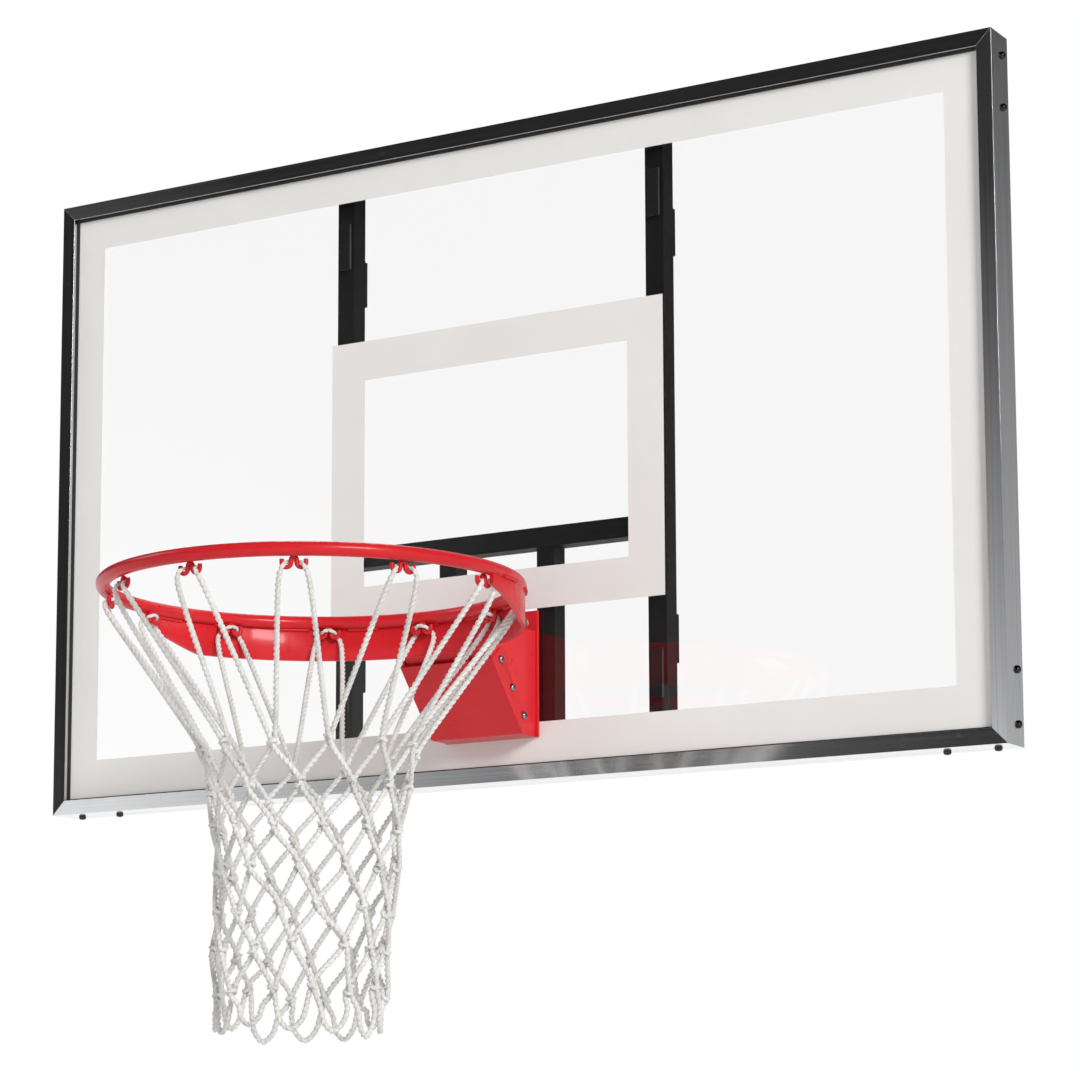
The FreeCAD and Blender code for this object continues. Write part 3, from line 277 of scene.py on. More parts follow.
# Painted reflection: the bottom rail's metal is painted lighter than the other rails' to stand in for the
# bright floor reflected in it.
BOTTOM_REFLECTION_DARK = (0.72, 0.73, 0.75)
BOTTOM_REFLECTION_LIGHT = (0.88, 0.885, 0.895)
SIDE_TILT = 0.14
TOP = aluminium("aluminium_top", LINES_ALONG_X, METAL_DARK, METAL_LIGHT, 0.05, 0.1)
BOTTOM_PAINTED_REFLECTION = aluminium("aluminium_bottom_painted_reflection", LINES_ALONG_X, BOTTOM_REFLECTION_DARK, BOTTOM_REFLECTION_LIGHT, 0.08, 0.13)
LEFT = aluminium("aluminium_left", LINES_ALONG_Z, METAL_DARK, METAL_LIGHT, 0.05, 0.1, SIDE_TILT)
RIGHT = aluminium("aluminium_right", LINES_ALONG_Z, METAL_DARK, METAL_LIGHT, 0.05, 0.1, -SIDE_TILT)
BLACK = powder_coat("black_coat", (0.003, 0.0025, 0.0025), (0.005, 0.0042, 0.0042), 0.5, 0.12, 0.0)
RED = powder_coat("red_coat", (0.52, 0.011, 0.017), (0.62, 0.016, 0.023), 0.3, 0.2, 0.12)
ZINC = plated("zinc_plate", (0.56, 0.57, 0.6), (0.76, 0.75, 0.7), 0.24, 0.42)
NICKEL = plated("dark_nickel", (0.24, 0.24, 0.25), (0.36, 0.355, 0.35), 0.1, 0.2)
# Painted dark reflection: near-black metal for the corner screws, standing in for the dark surroundings they
# mirror rather than a finish of their own.
DARK_REFLECTION_STEEL = plated("steel_painted_dark_reflection", (0.03, 0.03, 0.032), (0.06, 0.058, 0.055), 0.1, 0.2)
RUBBER = moulded("black_rubber", (0.012, 0.012, 0.012), (0.025, 0.025, 0.025), 0.7, 700.0)
NYLON = moulded("grey_nylon", (0.28, 0.28, 0.29), (0.36, 0.36, 0.37), 0.5, 500.0)
TWINE = twine()

FRONT_STEEL = ("back_plate", "left_gusset", "right_gusset", "top_bridge", "spring_shelf", "front_cover")
MOVING_STEEL = ("hinge_bracket", "hinge_tube", "ring", "brace", "net_hooks")
REAR_STEEL = ("left_upright", "right_upright", "crossbar", "left_goal_bar", "right_goal_bar", "goal_plate")
PLATED = ("corner_keys", "mount_nuts", "goal_bolts", "goal_washers", "goal_nuts", "hinge_pin", "pin_clip")

paint(["clear_panel"], ACRYLIC)
paint(["border_marking", "target_marking"], INK)
paint(["top_rail"], TOP)
paint(["bottom_rail"], BOTTOM_PAINTED_REFLECTION)
paint(["left_rail"], LEFT)
paint(["right_rail"], RIGHT)
paint(["glazing_gasket", "panel_pads"], RUBBER)
paint([*REAR_STEEL, "mount_pads"], BLACK)
paint([*FRONT_STEEL, *MOVING_STEEL], RED)
paint(PLATED, ZINC)
paint(["panel_bushes", "front_spring_seats", "rear_spring_seats"], NYLON)
nodes["clear_panel"].visible_shadow = False


# Rounded edges on the CAD pieces

def round_edges(names, width, segments=2):
    for name in names:
        weld = nodes[name].modifiers.new("join_faces", "WELD")
        weld.merge_threshold = 0.01 * MILLIMETRE
        bevel = nodes[name].modifiers.new("round_edges", "BEVEL")
        bevel.width = width
        bevel.segments = segments
        bevel.limit_method = "ANGLE"
        bevel.angle_limit = math.radians(40)
        bevel.harden_normals = True


round_edges(["top_rail", "bottom_rail", "left_rail", "right_rail"], 0.25 * MILLIMETRE)
round_edges([*REAR_STEEL, "mount_pads"], 1.2 * MILLIMETRE, 3)
round_edges([*FRONT_STEEL, "hinge_bracket", "brace"], 0.6 * MILLIMETRE)
round_edges(["goal_bolts", "goal_nuts", "goal_washers", "corner_keys", "pin_clip"], 0.35 * MILLIMETRE)


# Mesh helpers

SPLINE_POINTS = 24
UV_RUN = 0.02


def new_piece(name, vertices, faces, material, body):
    mesh = bpy.data.meshes.new(name)
    mesh.from_pydata(vertices, [], faces)
    mesh.polygons.foreach_set("use_smooth", [True] * len(mesh.polygons))
    mesh.materials.append(material)
    piece = bpy.data.objects.new(name, mesh)
    scene.collection.objects.link(piece)
    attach(piece, body)
    return piece


def smooth_path(points, step):
    """Points at an even step along a centripetal spline through the given points."""
    points = np.array(points, float)
    ends = [2 * points[0] - points[1], *points, 2 * points[-1] - points[-2]]
    dense = []
    shares = np.linspace(0, 1, SPLINE_POINTS, endpoint=False)[:, None]
    for p0, p1, p2, p3 in zip(ends, ends[1:], ends[2:], ends[3:]):
        t1 = np.linalg.norm(p1 - p0) ** 0.5
        t2 = t1 + np.linalg.norm(p2 - p1) ** 0.5
        t3 = t2 + np.linalg.norm(p3 - p2) ** 0.5
        t = t1 + (t2 - t1) * shares
        a1 = p0 + (p1 - p0) * t / t1
        a2 = p1 + (p2 - p1) * (t - t1) / (t2 - t1)
        a3 = p2 + (p3 - p2) * (t - t2) / (t3 - t2)
        b1 = a1 + (a2 - a1) * t / t2
        b2 = a2 + (a3 - a2) * (t - t1) / (t3 - t1)
        dense.append(b1 + (b2 - b1) * (t - t1) / (t2 - t1))
    dense = np.vstack([*dense, points[-1:]])
    run = np.concatenate([[0], np.cumsum(np.linalg.norm(np.diff(dense, axis=0), axis=1))])
    count = max(3, int(round(run[-1] / step)) + 1)
    places = np.linspace(0, run[-1], count)
    return np.column_stack([np.interp(places, run, dense[:, k]) for k in range(3)]), run[-1]


def side_vectors(path):
    """Two vectors square to the path at each point, carried along it without twist."""
    tangents = np.gradient(path, axis=0)
    tangents /= np.linalg.norm(tangents, axis=1)[:, None]
    first = np.cross(tangents[0], (0.31, 0.64, 0.7))
    sides = [first / np.linalg.norm(first)]
    for tangent in tangents[1:]:
        side = sides[-1] - tangent * np.dot(sides[-1], tangent)
        sides.append(side / np.linalg.norm(side))
    sides = np.array(sides)
    return sides, np.cross(tangents, sides)


class Tubes:
    """Collects closed tubes in one mesh, with UVs along and around them."""

    def __init__(self):
        self.vertices = []
        self.faces = []
        self.uvs = []
        self.count = 0

    def add(self, path, radii, profile, twist):
        sides, ups = side_vectors(path)
        number = len(profile)
        angles = 2 * np.pi * np.arange(number) / number
        turned = angles[None, :] + twist[:, None]
        reach = radii[:, None] * np.array(profile)[None, :]
        across = (reach * np.cos(turned))[..., None] * sides[:, None, :]
        along = (reach * np.sin(turned))[..., None] * ups[:, None, :]
        self.vertices.append((path[:, None, :] + across + along).reshape(-1, 3))
        run = np.concatenate([[0], np.cumsum(np.linalg.norm(np.diff(path, axis=0), axis=1))])
        for ring in range(len(path) - 1):
            for k in range(number):
                a = self.count + ring * number + k
                b = self.count + ring * number + (k + 1) % number
                self.faces.append((a, b, b + number, a + number))
                low, high = run[ring] / UV_RUN, run[ring + 1] / UV_RUN
                self.uvs += [(low, k / number), (low, (k + 1) / number)]
                self.uvs += [(high, (k + 1) / number), (high, k / number)]
        last = self.count + (len(path) - 1) * number
        self.faces.append(tuple(self.count + k for k in reversed(range(number))))
        self.faces.append(tuple(last + k for k in range(number)))
        self.uvs += [(0, 0)] * (2 * number)
        self.count += len(path) * number

    def piece(self, name, material, body, slot):
        made = new_piece(name, np.vstack(self.vertices).tolist(), self.faces, material, body)
        layer = made.data.uv_layers.new(name="along")
        layer.data.foreach_set("uv", np.array(self.uvs, np.float32).ravel())
        return made


# Print between the border and the gasket

PRINT_GAP = 5.0 * MILLIMETRE


def make_border_edge():
    """The border's print carried on from its outer edge to the gasket."""
    low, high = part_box("border_marking")
    vertices = []
    for grow in (0, PRINT_GAP):
        left, right = low.x - grow, high.x + grow
        bottom, top = low.z - grow, high.z + grow
        for y in (low.y, high.y):
            vertices += [(left, y, bottom), (right, y, bottom), (right, y, top), (left, y, top)]
    corners = 4
    faces = []
    for here in range(corners):
        after = (here + 1) % corners
        inner_front, inner_rear, outer_front, outer_rear = (
            (here + corners * loop, after + corners * loop) for loop in range(4)
        )
        faces.append((*outer_front, *reversed(inner_front)))
        faces.append((*inner_rear, *reversed(outer_rear)))
        faces.append((*outer_rear, *reversed(outer_front)))
        faces.append((*inner_front, *reversed(inner_rear)))
    edge = new_piece("border_print_edge", vertices, faces, INK, "board")
    edge.data.set_sharp_from_angle(angle=math.radians(35))


make_border_edge()


# Net

HOOKS = 12
STEP = 2 * math.pi / HOOKS
HOOK_WIRE = 5.0 * MILLIMETRE
CURL_RADIUS = 5.0 * MILLIMETRE
CURL_OFFSET = 8.0 * MILLIMETRE
CURL_LEVEL = HOOK_LOW + CURL_RADIUS + HOOK_WIRE / 2
HOOK_PLANE = RING_RADIUS - 7.1 * MILLIMETRE
TWINE_RADIUS = 3.5 * MILLIMETRE
PINCHED_RADIUS = 2.3 * MILLIMETRE
LAY = 21 * MILLIMETRE
PLY_PROFILE = (0.66, 0.97, 0.97, 0.66) * 3
KNOT_ROWS = 7
FIRST_DROP = 175 * MILLIMETRE
ROW_PITCH = 45 * MILLIMETRE
LOOP_DROP = CURL_LEVEL - NET_LOW - TWINE_RADIUS
BOTTOM_RADIUS = 90 * MILLIMETRE
TOP_RADIUS = HOOK_PLANE - HOOK_WIRE
GATHER = 120 * MILLIMETRE
LEAN = 16 * MILLIMETRE
PATH_STEP = 2.4 * MILLIMETRE
PINCH_START = 12 * MILLIMETRE
PINCH_RUN = 18 * MILLIMETRE
WRAP_TWINE_RADIUS = 3.1 * MILLIMETRE
WRAP_ACROSS = 4.2 * MILLIMETRE
WRAP_OUT = 4.4 * MILLIMETRE
WRAP_FALL = 9 * MILLIMETRE
WRAP_POINTS = 11
WRAP_TAPER = 4 * MILLIMETRE

chance = random.Random(12)
knot_shift = {}
for row in range(KNOT_ROWS):
    for half_step in range(2 * HOOKS):
        amount = (2.5 + 0.8 * row) * MILLIMETRE
        knot_shift[row, half_step] = [chance.uniform(-amount, amount) for axis in range(3)]
loop_shift = [chance.uniform(-14, 4) * MILLIMETRE for loop in range(HOOKS)]


def net_radius(drop):
    return BOTTOM_RADIUS + (TOP_RADIUS - BOTTOM_RADIUS) * math.exp(-drop / GATHER)


def net_point(turn, drop, across=0.0, out=0.0):
    """A point of the net: turn in hook steps, drop below the hooks, then offsets along and out of it."""
    radius = net_radius(drop)
    angle = turn * STEP + across / radius
    lean = -LEAN * (max(drop, 0) / LOOP_DROP) ** 2
    x = RING_CENTRE.x + (radius + out) * math.cos(angle) + lean
    y = RING_CENTRE.y + (radius + out) * math.sin(angle)
    return Vector((x, y, CURL_LEVEL - drop))


def hook_point(hook, across, out, up):
    angle = hook * STEP
    outward = Vector((math.cos(angle), math.sin(angle), 0))
    spread_way = Vector((-math.sin(angle), math.cos(angle), 0))
    base = Vector((RING_CENTRE.x, RING_CENTRE.y, CURL_LEVEL))
    return base + outward * (HOOK_PLANE + out) + spread_way * across + Vector((0, 0, up))


def knot_place(row, turn):
    side, up, out = knot_shift[row, int(round(2 * turn)) % (2 * HOOKS)]
    return FIRST_DROP + row * ROW_PITCH + up, side, out * 0.6


def hook_run(hook, side):
    """From the loop's middle on the hook's inner side, out through one curl and down under the hook."""
    places = [
        (0, -5.0, 3.2),
        (4.5, -4.8, 2.4),
        (8.0, -0.6, 0.2),
        (9.6, 4.6, -1.6),
        (13.0, 5.0, -7.0),
        (16.0, 0.5, -16.0),
    ]
    points = []
    for place in places:
        across, out, up = (length * MILLIMETRE for length in place)
        points.append(hook_point(hook, side * across, out, up))
    return points


def knot_run(row, turn, way):
    """Through a knot from above: way is 1 for strands that go round the ring's axis, -1 for the others."""
    drop, side, out = knot_place(row, turn)
    cling = 2.6 * MILLIMETRE
    half = 7 * MILLIMETRE
    layer = out + way * 2.3 * MILLIMETRE
    return [
        net_point(turn, drop - half, side - way * cling, layer),
        net_point(turn, drop, side, layer),
        net_point(turn, drop + half, side + way * cling, layer),
    ]


def bottom_loop(turn, longer):
    places = [(-0.34, 0.45), (-0.24, 0.8), (0.0, 1.0), (0.24, 0.8), (0.34, 0.45)]
    last = FIRST_DROP + (KNOT_ROWS - 1) * ROW_PITCH
    depth = LOOP_DROP + longer - last
    return [net_point(turn + across, last + share * depth) for across, share in places]


def strand_points(hook):
    """One cord: down from a hook to the bottom edge, round a loop and up to the hook opposite."""
    points = hook_run(hook, 1)
    for row in range(KNOT_ROWS):
        points += knot_run(row, hook + 0.5 * (row + 1), 1)
    middle = hook + 0.5 * (KNOT_ROWS + 1)
    points += bottom_loop(middle, loop_shift[int(middle) % HOOKS])
    for row in reversed(range(KNOT_ROWS)):
        points += reversed(knot_run(row, middle + 0.5 * (KNOT_ROWS - row), -1))
    return points + list(reversed(hook_run(int(hook + KNOT_ROWS + 1) % HOOKS, -1)))


def knot_wrap(row, turn):
    """A turn and a bit of cord drawn tight and slanting round the two strands of a knot."""
    drop, side, out = knot_place(row, turn)
    phase = chance.uniform(0, 2 * math.pi)
    hand = chance.choice((-1, 1))
    tilt = hand * chance.uniform(0.5, 1.0)
    points = []
    for index in range(WRAP_POINTS):
        share = index / (WRAP_POINTS - 1)
        angle = phase + hand * share * 2.5 * math.pi
        across = WRAP_ACROSS * math.cos(angle)
        layer = out + WRAP_OUT * math.sin(angle)
        fall = (share - 0.5) * WRAP_FALL + tilt * across
        points.append(net_point(turn, drop + fall, side + across, layer))
    return points


def make_net():
    cords = Tubes()
    total = 0.0
    for hook in range(HOOKS):
        path, length = smooth_path(strand_points(hook), PATH_STEP)
        places = np.linspace(0, length, len(path))
        from_end = np.minimum(places, length - places)
        pinch = np.clip((from_end - PINCH_START) / PINCH_RUN, 0, 1)
        radii = PINCHED_RADIUS + (TWINE_RADIUS - PINCHED_RADIUS) * pinch
        cords.add(path, radii, PLY_PROFILE, 2 * math.pi * places / LAY)
        total += length
    for row in range(KNOT_ROWS):
        for column in range(HOOKS):
            turn = column + 0.5 * ((row + 1) % 2)
            path, length = smooth_path(knot_wrap(row, turn), PATH_STEP)
            places = np.linspace(0, length, len(path))
            taper = np.clip(np.minimum(places, length - places) / WRAP_TAPER, 0.45, 1)
            cords.add(path, WRAP_TWINE_RADIUS * taper, PLY_PROFILE, 2 * math.pi * places / LAY)
            total += length
    print("net: twine in all", round(total, 2), "m")
    net = cords.piece("twine_net", TWINE, "goal_ring", "white_twine")
    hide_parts("net")


make_net()


# Springs

def make_springs():
    turns = 6
    turn_points = 32
    wire_sides = 12
    wire = 2.0 * MILLIMETRE
    end_gap = 0.2 * MILLIMETRE
    for part in joint["deforming_nodes"]:
        name = part["node"]
        axis = np.array(part["axis"], float)
        fixed = np.array(part["fixed_end_m"], float)
        points = np.array([v.co for v in nodes[name].data.vertices], float)
        heights = (points - fixed) @ axis
        length = -heights.min() + end_gap
        radius = np.linalg.norm(points - fixed - heights[:, None] * axis, axis=1).max() - wire
        across = np.array((1.0, 0, 0))
        up = np.cross(axis, across)
        coil = []
        for index in range(turns * turn_points + 1):
            turn = index / turn_points
            climb = wire + end_gap + (length - 2 * wire - 2 * end_gap) * turn / turns
            angle = 2 * math.pi * turn
            spoke = radius * (across * math.cos(angle) + up * math.sin(angle))
            coil.append(fixed - axis * climb + spoke)
        tubes = Tubes()
        path = np.array(coil)
        tubes.add(path, np.full(len(path), wire), (1.0,) * wire_sides, np.zeros(len(path)))
        spring = tubes.piece(name + "_coil", ZINC, "board", "bright_steel")
        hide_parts(name)
        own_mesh(spring)


make_springs()


# Welds

BEAD_PITCH = 2.6 * MILLIMETRE
BEAD_END = 3 * MILLIMETRE
BEAD_STEP = 0.9 * MILLIMETRE
BEAD_SIDES = 8


def ripple(length, radius, count):
    places = np.linspace(0, length, count)
    waves = 1 + 0.14 * np.sin(2 * np.pi * places / BEAD_PITCH)
    ends = np.clip(np.minimum(places, length - places) / BEAD_END, 0.25, 1)
    return radius * waves * ends


def add_weld(tubes, points, radius):
    path, length = smooth_path(points, BEAD_STEP)
    tubes.add(path, ripple(length, radius, len(path)), (1.0,) * BEAD_SIDES, np.zeros(len(path)))


def ring_arc(radius, level, start, end):
    count = 9
    points = []
    for index in range(count):
        turn = start + (end - start) * index / (count - 1)
        x = RING_CENTRE.x + radius * math.cos(turn)
        y = RING_CENTRE.y + radius * math.sin(turn)
        points.append((x, y, level))
    return points


def rod_underside(radius):
    return RING_CENTRE.z - math.sqrt(ROD_RADIUS ** 2 - (radius - RING_RADIUS) ** 2)


def make_welds():
    bracket_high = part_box("hinge_bracket")[1]
    bead = 2.2 * MILLIMETRE
    sunk = 0.6 * MILLIMETRE
    brace_thickness = 5.0 * MILLIMETRE
    brace_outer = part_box("brace")[1].y - RING_CENTRE.y
    seams = Tubes()
    stitches = 9
    half_stitch = 0.085
    for radius in (brace_outer + sunk, brace_outer - brace_thickness - sunk):
        level = rod_underside(radius) - sunk
        for stitch in range(stitches):
            middle = math.pi * (stitch + 0.5) / stitches
            add_weld(seams, ring_arc(radius, level, middle - half_stitch, middle + half_stitch), bead)
    seams.piece("ring_weld_seams", RED, "goal_ring", "red_steel")
    arm_x = bracket_high.x
    rear = math.sqrt(brace_outer ** 2 - arm_x ** 2) + RING_CENTRE.y
    bead_rear = rear + 0.4 * MILLIMETRE
    top = bracket_high.z - 2 * MILLIMETRE
    bottom = bracket_high.z - 24 * MILLIMETRE
    count = 5
    levels = [bottom + (top - bottom) * index / (count - 1) for index in range(count)]
    arms = Tubes()
    for side in (-1, 1):
        x = side * (arm_x + sunk)
        add_weld(arms, [(x, bead_rear, level) for level in levels], bead)
    arms.piece("bracket_weld_seams", RED, "goal_ring", "red_steel")


make_welds()


# Screw heads

HEAD_RADIUS = 4.8 * MILLIMETRE
HEAD_HEIGHT = 2.6 * MILLIMETRE
HEAD_RIM = 0.35 * MILLIMETRE
DOME = 1.2 * MILLIMETRE
FLAT_RADIUS = 3.4 * MILLIMETRE * 0.55
SHANK_RADIUS = 2.4 * MILLIMETRE
CROSS_REACH = 2.5 * MILLIMETRE
CROSS_WIDTH = 1.1 * MILLIMETRE
CROSS_BOTTOM = 2.0 * MILLIMETRE
CROSS_TOP = 6 * MILLIMETRE


def screw_mesh(shank_length):
    """A pan-head screw along +Z, not yet recessed, its head standing on Z = 0."""
    head_height = HEAD_HEIGHT + DOME
    profile = [(0, head_height * 0.98)]
    count = 7
    for index in range(count):
        share = index / (count - 1)
        radius = FLAT_RADIUS + (HEAD_RADIUS - FLAT_RADIUS) * math.sin(share * math.pi / 2)
        height = head_height * math.cos(share * math.pi / 2) ** 0.7 if share < 1 else HEAD_RIM
        profile.append((radius, max(height, HEAD_RIM)))
    profile += [(HEAD_RADIUS, 0), (SHANK_RADIUS, 0), (SHANK_RADIUS, -shank_length), (0, -shank_length)]
    solid = bmesh.new()
    ring = [solid.verts.new((radius, 0, height)) for radius, height in profile]
    edges = [solid.edges.new(pair) for pair in zip(ring, ring[1:])]
    bmesh.ops.spin(
        solid,
        geom=[*ring, *edges],
        cent=(0, 0, 0),
        axis=(0, 0, 1),
        angle=2 * math.pi,
        steps=24,
    )
    bmesh.ops.remove_doubles(solid, verts=solid.verts, dist=0.001 * MILLIMETRE)
    bmesh.ops.recalc_face_normals(solid, faces=solid.faces)
    mesh = bpy.data.meshes.new("screw_blank")
    solid.to_mesh(mesh)
    solid.free()
    return mesh


def cross_mesh():
    solid = bmesh.new()
    for turn in (0, math.pi / 2):
        spot = Matrix.Translation((0, 0, (CROSS_BOTTOM + CROSS_TOP) / 2)) @ Matrix.Rotation(turn, 4, "Z")
        scale = Matrix.Diagonal((2 * CROSS_REACH, CROSS_WIDTH, CROSS_TOP - CROSS_BOTTOM, 1))
        bmesh.ops.create_cube(solid, size=1, matrix=spot @ scale)
    mesh = bpy.data.meshes.new("screw_cross")
    solid.to_mesh(mesh)
    solid.free()
    return mesh


def recessed(blank, tool):
    """The blank with the tool cut out of it."""
    body = bpy.data.objects.new("screw_body", blank)
    cutter = bpy.data.objects.new("screw_cutter", tool)
    for thing in (body, cutter):
        scene.collection.objects.link(thing)
    cut = body.modifiers.new("recess", "BOOLEAN")
    cut.object = cutter
    cut.operation = "DIFFERENCE"
    cut.use_self = True
    graph = bpy.context.evaluated_depsgraph_get()
    mesh = bpy.data.meshes.new_from_object(body.evaluated_get(graph))
    for thing in (body, cutter):
        bpy.data.objects.remove(thing)
    return mesh


def islands(name):
    """The corner points of each separate solid of a CAD node."""
    solid = bmesh.new()
    solid.from_mesh(nodes[name].data)
    bmesh.ops.remove_doubles(solid, verts=solid.verts, dist=0.001 * MILLIMETRE)
    left = set(solid.verts)
    found = []
    while left:
        edge = [left.pop()]
        group = list(edge)
        while edge:
            here = edge.pop()
            for link in here.link_edges:
                other = link.other_vert(here)
                if other in left:
                    left.discard(other)
                    edge.append(other)
                    group.append(other)
        spots = np.array([v.co for v in group])
        found.append(spots)
    solid.free()
    return found


def screw_axis(spots, axes):
    """The way a screw points: its head is the wider end along the axis that suits its round shape."""
    crown_depth = 0.05 * MILLIMETRE
    head_depth = 2.7 * MILLIMETRE
    centre = (spots.min(0) + spots.max(0)) / 2
    best = None
    for axis in axes:
        axis = np.array(axis, float)
        heights = (spots - centre) @ axis
        middle = spots[heights > heights.max() - crown_depth].mean(0)
        reach = np.linalg.norm((spots - middle) - ((spots - middle) @ axis)[:, None] * axis, axis=1)
        wider = reach[heights > heights.max() - head_depth].max() - reach[heights < 0].max()
        score = wider - abs(reach.max() - HEAD_RADIUS)
        if best is None or score > best[0]:
            best = (score, axis, middle)
    return best[1], best[2]


def make_screws(name, piece_name, axes, shank_length, finish):
    pattern = recessed(screw_mesh(shank_length), cross_mesh())
    corners = np.array([v.co for v in pattern.vertices])
    vertices = []
    faces = []
    for spots in islands(name):
        axis, crown = screw_axis(spots, axes)
        turn = Vector((0, 0, 1)).rotation_difference(Vector(axis)).to_matrix()
        spin = Matrix.Rotation(chance.uniform(0, math.pi / 2), 3, "Z")
        seat = crown - axis * HEAD_HEIGHT
        base = len(vertices)
        vertices += (corners @ np.array(turn @ spin).T + seat).tolist()
        faces += [tuple(base + index for index in face.vertices) for face in pattern.polygons]
    piece = new_piece(piece_name, vertices, faces, finish, "board")
    piece.data.set_sharp_from_angle(angle=math.radians(35))
    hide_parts(name)


SIDEWAYS = [(1, 0, 0), (-1, 0, 0)]
UPRIGHT = [(0, 0, 1), (0, 0, -1)]
REARWARD = [(0, 1, 0)]
FRAME_SHANK = 7.5 * MILLIMETRE
COVER_SHANK = 4.8 * MILLIMETRE
# The corner screws take the near-black metal that paints a dark reflection onto them.
make_screws("corner_screws", "corner_pan_screws", SIDEWAYS + UPRIGHT, FRAME_SHANK, DARK_REFLECTION_STEEL)
make_screws("tube_screws", "tube_pan_screws", REARWARD, FRAME_SHANK, NICKEL)
make_screws("cover_screws", "cover_pan_screws", SIDEWAYS, COVER_SHANK, NICKEL)


# Studio

CAMERA_EYE = Vector((2.1009, -3.4388, -0.9024))
CAMERA_YAW = math.radians(30.904)
CAMERA_PITCH = math.radians(8.365)
CAMERA_ROLL = math.radians(-0.19)
CAMERA_LENS = 108.8
CAMERA_SHIFT_UP = 0.148
FLOOR_GAP = 0.4
FLOOR_SIZE = 60.0
EVEN_LIGHT = 0.42
WHITE = 1.0
LAMP_TARGET = (0, -0.3, -0.3)


def make_camera():
    forward = Vector((
        -math.sin(CAMERA_YAW) * math.cos(CAMERA_PITCH),
        math.cos(CAMERA_YAW) * math.cos(CAMERA_PITCH),
        math.sin(CAMERA_PITCH),
    ))
    level = Vector((math.cos(CAMERA_YAW), math.sin(CAMERA_YAW), 0))
    upright = level.cross(forward)
    right = level * math.cos(CAMERA_ROLL) + upright * math.sin(CAMERA_ROLL)
    up = upright * math.cos(CAMERA_ROLL) - level * math.sin(CAMERA_ROLL)
    camera = bpy.data.objects.new("camera", bpy.data.cameras.new("camera"))
    camera.data.lens = CAMERA_LENS
    camera.data.sensor_width = 36
    camera.data.shift_y = CAMERA_SHIFT_UP
    camera.data.clip_end = 200
    turn = Matrix((right, up, -forward)).transposed()
    camera.matrix_world = Matrix.Translation(CAMERA_EYE) @ turn.to_4x4()
    scene.collection.objects.link(camera)
    scene.camera = camera


def make_world():
    """White behind the object, a soft even light on it, and a studio that darkens upwards in reflections."""
    world = bpy.data.worlds.new("studio")
    world.use_nodes = True
    scene.world = world
    tree = world.node_tree
    tree.nodes.clear()
    rays = tree.nodes.new("ShaderNodeLightPath")
    way = tree.nodes.new("ShaderNodeTexCoord")
    parts = tree.nodes.new("ShaderNodeSeparateXYZ")
    tree.links.new(way.outputs["Generated"], parts.inputs["Vector"])
    sideways = combine(tree, "ABSOLUTE", parts.outputs["X"], 0.0)
    window = ramp(tree, sideways, greys((0.38, 0.04), (0.5, 0.16), (0.56, 0.5), (0.62, 1.0)))
    fade = ramp(tree, parts.outputs["Z"], greys((0.11, 1.0), (0.14, 0.7), (0.235, 0.25), (0.3, 0.06)))
    front = combine(tree, "MAXIMUM", combine(tree, "MULTIPLY", window, fade), 0.03)
    rear_fade = spread(tree, parts.outputs["Z"], 0.75, 0.12, 0.1, 0.36)
    rear = combine(tree, "MULTIPLY", parts.outputs["Y"], rear_fade)
    studio = combine(tree, "MAXIMUM", front, rear)
    lights = []
    for strength in (EVEN_LIGHT, WHITE):
        light = tree.nodes.new("ShaderNodeBackground")
        light.inputs["Color"].default_value = (1, 1, 1, 1)
        light.inputs["Strength"].default_value = strength
        lights.append(light)
    even, white = lights
    glossy = tree.nodes.new("ShaderNodeBackground")
    tree.links.new(studio, glossy.inputs["Color"])
    unlit = combine(tree, "LESS_THAN", rays.outputs["Diffuse Depth"], 0.5)
    straight = combine(tree, "LESS_THAN", rays.outputs["Glossy Depth"], 0.5)
    direct = combine(tree, "MULTIPLY", rays.outputs["Is Transmission Ray"], unlit)
    through = combine(tree, "MULTIPLY", direct, straight)
    seen = combine(tree, "MAXIMUM", rays.outputs["Is Camera Ray"], through)
    mirrored = combine(tree, "SUBTRACT", unlit, straight)
    first = tree.nodes.new("ShaderNodeMixShader")
    shiny = combine(tree, "MULTIPLY", rays.outputs["Is Glossy Ray"], unlit)
    tree.links.new(combine(tree, "MAXIMUM", shiny, mirrored), first.inputs["Fac"])
    tree.links.new(even.outputs["Background"], first.inputs[1])
    tree.links.new(glossy.outputs["Background"], first.inputs[2])
    second = tree.nodes.new("ShaderNodeMixShader")
    tree.links.new(seen, second.inputs["Fac"])
    tree.links.new(first.outputs["Shader"], second.inputs[1])
    tree.links.new(white.outputs["Background"], second.inputs[2])
    output = tree.nodes.new("ShaderNodeOutputWorld")
    tree.links.new(second.outputs["Shader"], output.inputs["Surface"])


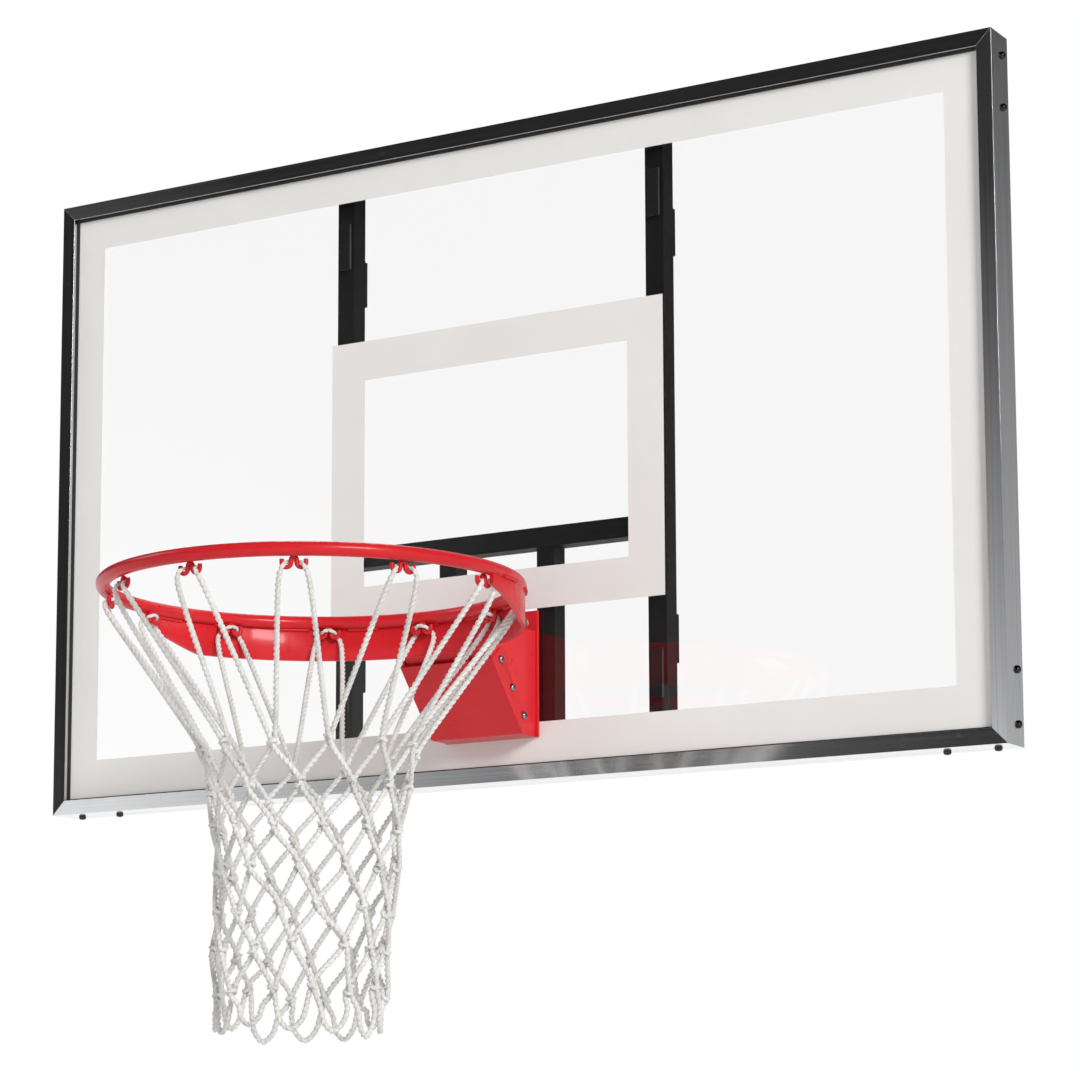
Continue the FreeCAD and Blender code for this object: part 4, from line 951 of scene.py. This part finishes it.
def add_softbox(name, place, target, width, height, power):
    lamp = bpy.data.lights.new(name, "AREA")
    lamp.shape = "RECTANGLE"
    lamp.size = width
    lamp.size_y = height
    lamp.energy = power
    thing = bpy.data.objects.new(name, lamp)
    thing.location = place
    thing.rotation_euler = (Vector(target) - Vector(place)).to_track_quat("-Z", "Y").to_euler()
    thing.visible_transmission = False
    scene.collection.objects.link(thing)


def make_floor():
    level = cad_box[0].z - FLOOR_GAP
    half = FLOOR_SIZE / 2
    corners = [(-half, -half, level), (half, -half, level), (half, half, level), (-half, half, level)]
    mesh = bpy.data.meshes.new("floor")
    mesh.from_pydata(corners, [], [(0, 1, 2, 3)])
    material, tree, shader = start_material("floor", (0.86, 0.86, 0.86), 0.9)
    cloud = noise(tree, coordinates(tree), 0.4, 3.0)
    shade = ramp(tree, cloud, [(0.3, (0.84, 0.84, 0.84)), (0.7, (0.88, 0.88, 0.88))])
    tree.links.new(shade, shader.inputs["Base Color"])
    distance = tree.nodes.new("ShaderNodeVectorMath")
    distance.operation = "LENGTH"
    tree.links.new(coordinates(tree, (1, 1, 0)), distance.inputs[0])
    rays = tree.nodes.new("ShaderNodeLightPath")
    mirrored = combine(tree, "MAXIMUM", rays.outputs["Is Glossy Ray"], rays.outputs["Is Transmission Ray"])
    seen = combine(tree, "MAXIMUM", rays.outputs["Is Camera Ray"], mirrored)
    far = spread(tree, distance.outputs["Value"], 0.0, 1.0, 1.5, 5.0)
    backdrop = tree.nodes.new("ShaderNodeEmission")
    fade = tree.nodes.new("ShaderNodeMixShader")
    tree.links.new(combine(tree, "MULTIPLY", far, seen), fade.inputs["Fac"])
    tree.links.new(shader.outputs["BSDF"], fade.inputs[1])
    tree.links.new(backdrop.outputs["Emission"], fade.inputs[2])
    tree.links.new(fade.outputs["Shader"], tree.nodes["Material Output"].inputs["Surface"])
    mesh.materials.append(material)
    floor = bpy.data.objects.new("floor", mesh)
    scene.collection.objects.link(floor)


make_camera()
make_world()
make_floor()
add_softbox("key_light", (9.9, -6.5, 4.3), LAMP_TARGET, 3.8, 3.4, 1100)
add_softbox("fill_light", (-3.6, -1.4, 2.6), LAMP_TARGET, 1.6, 1.4, 22)
add_softbox("rear_light", (-1.5, 3.0, 3.4), (0, 0, 0), 2.0, 1.6, 150)
scene.view_settings.view_transform = "Standard"
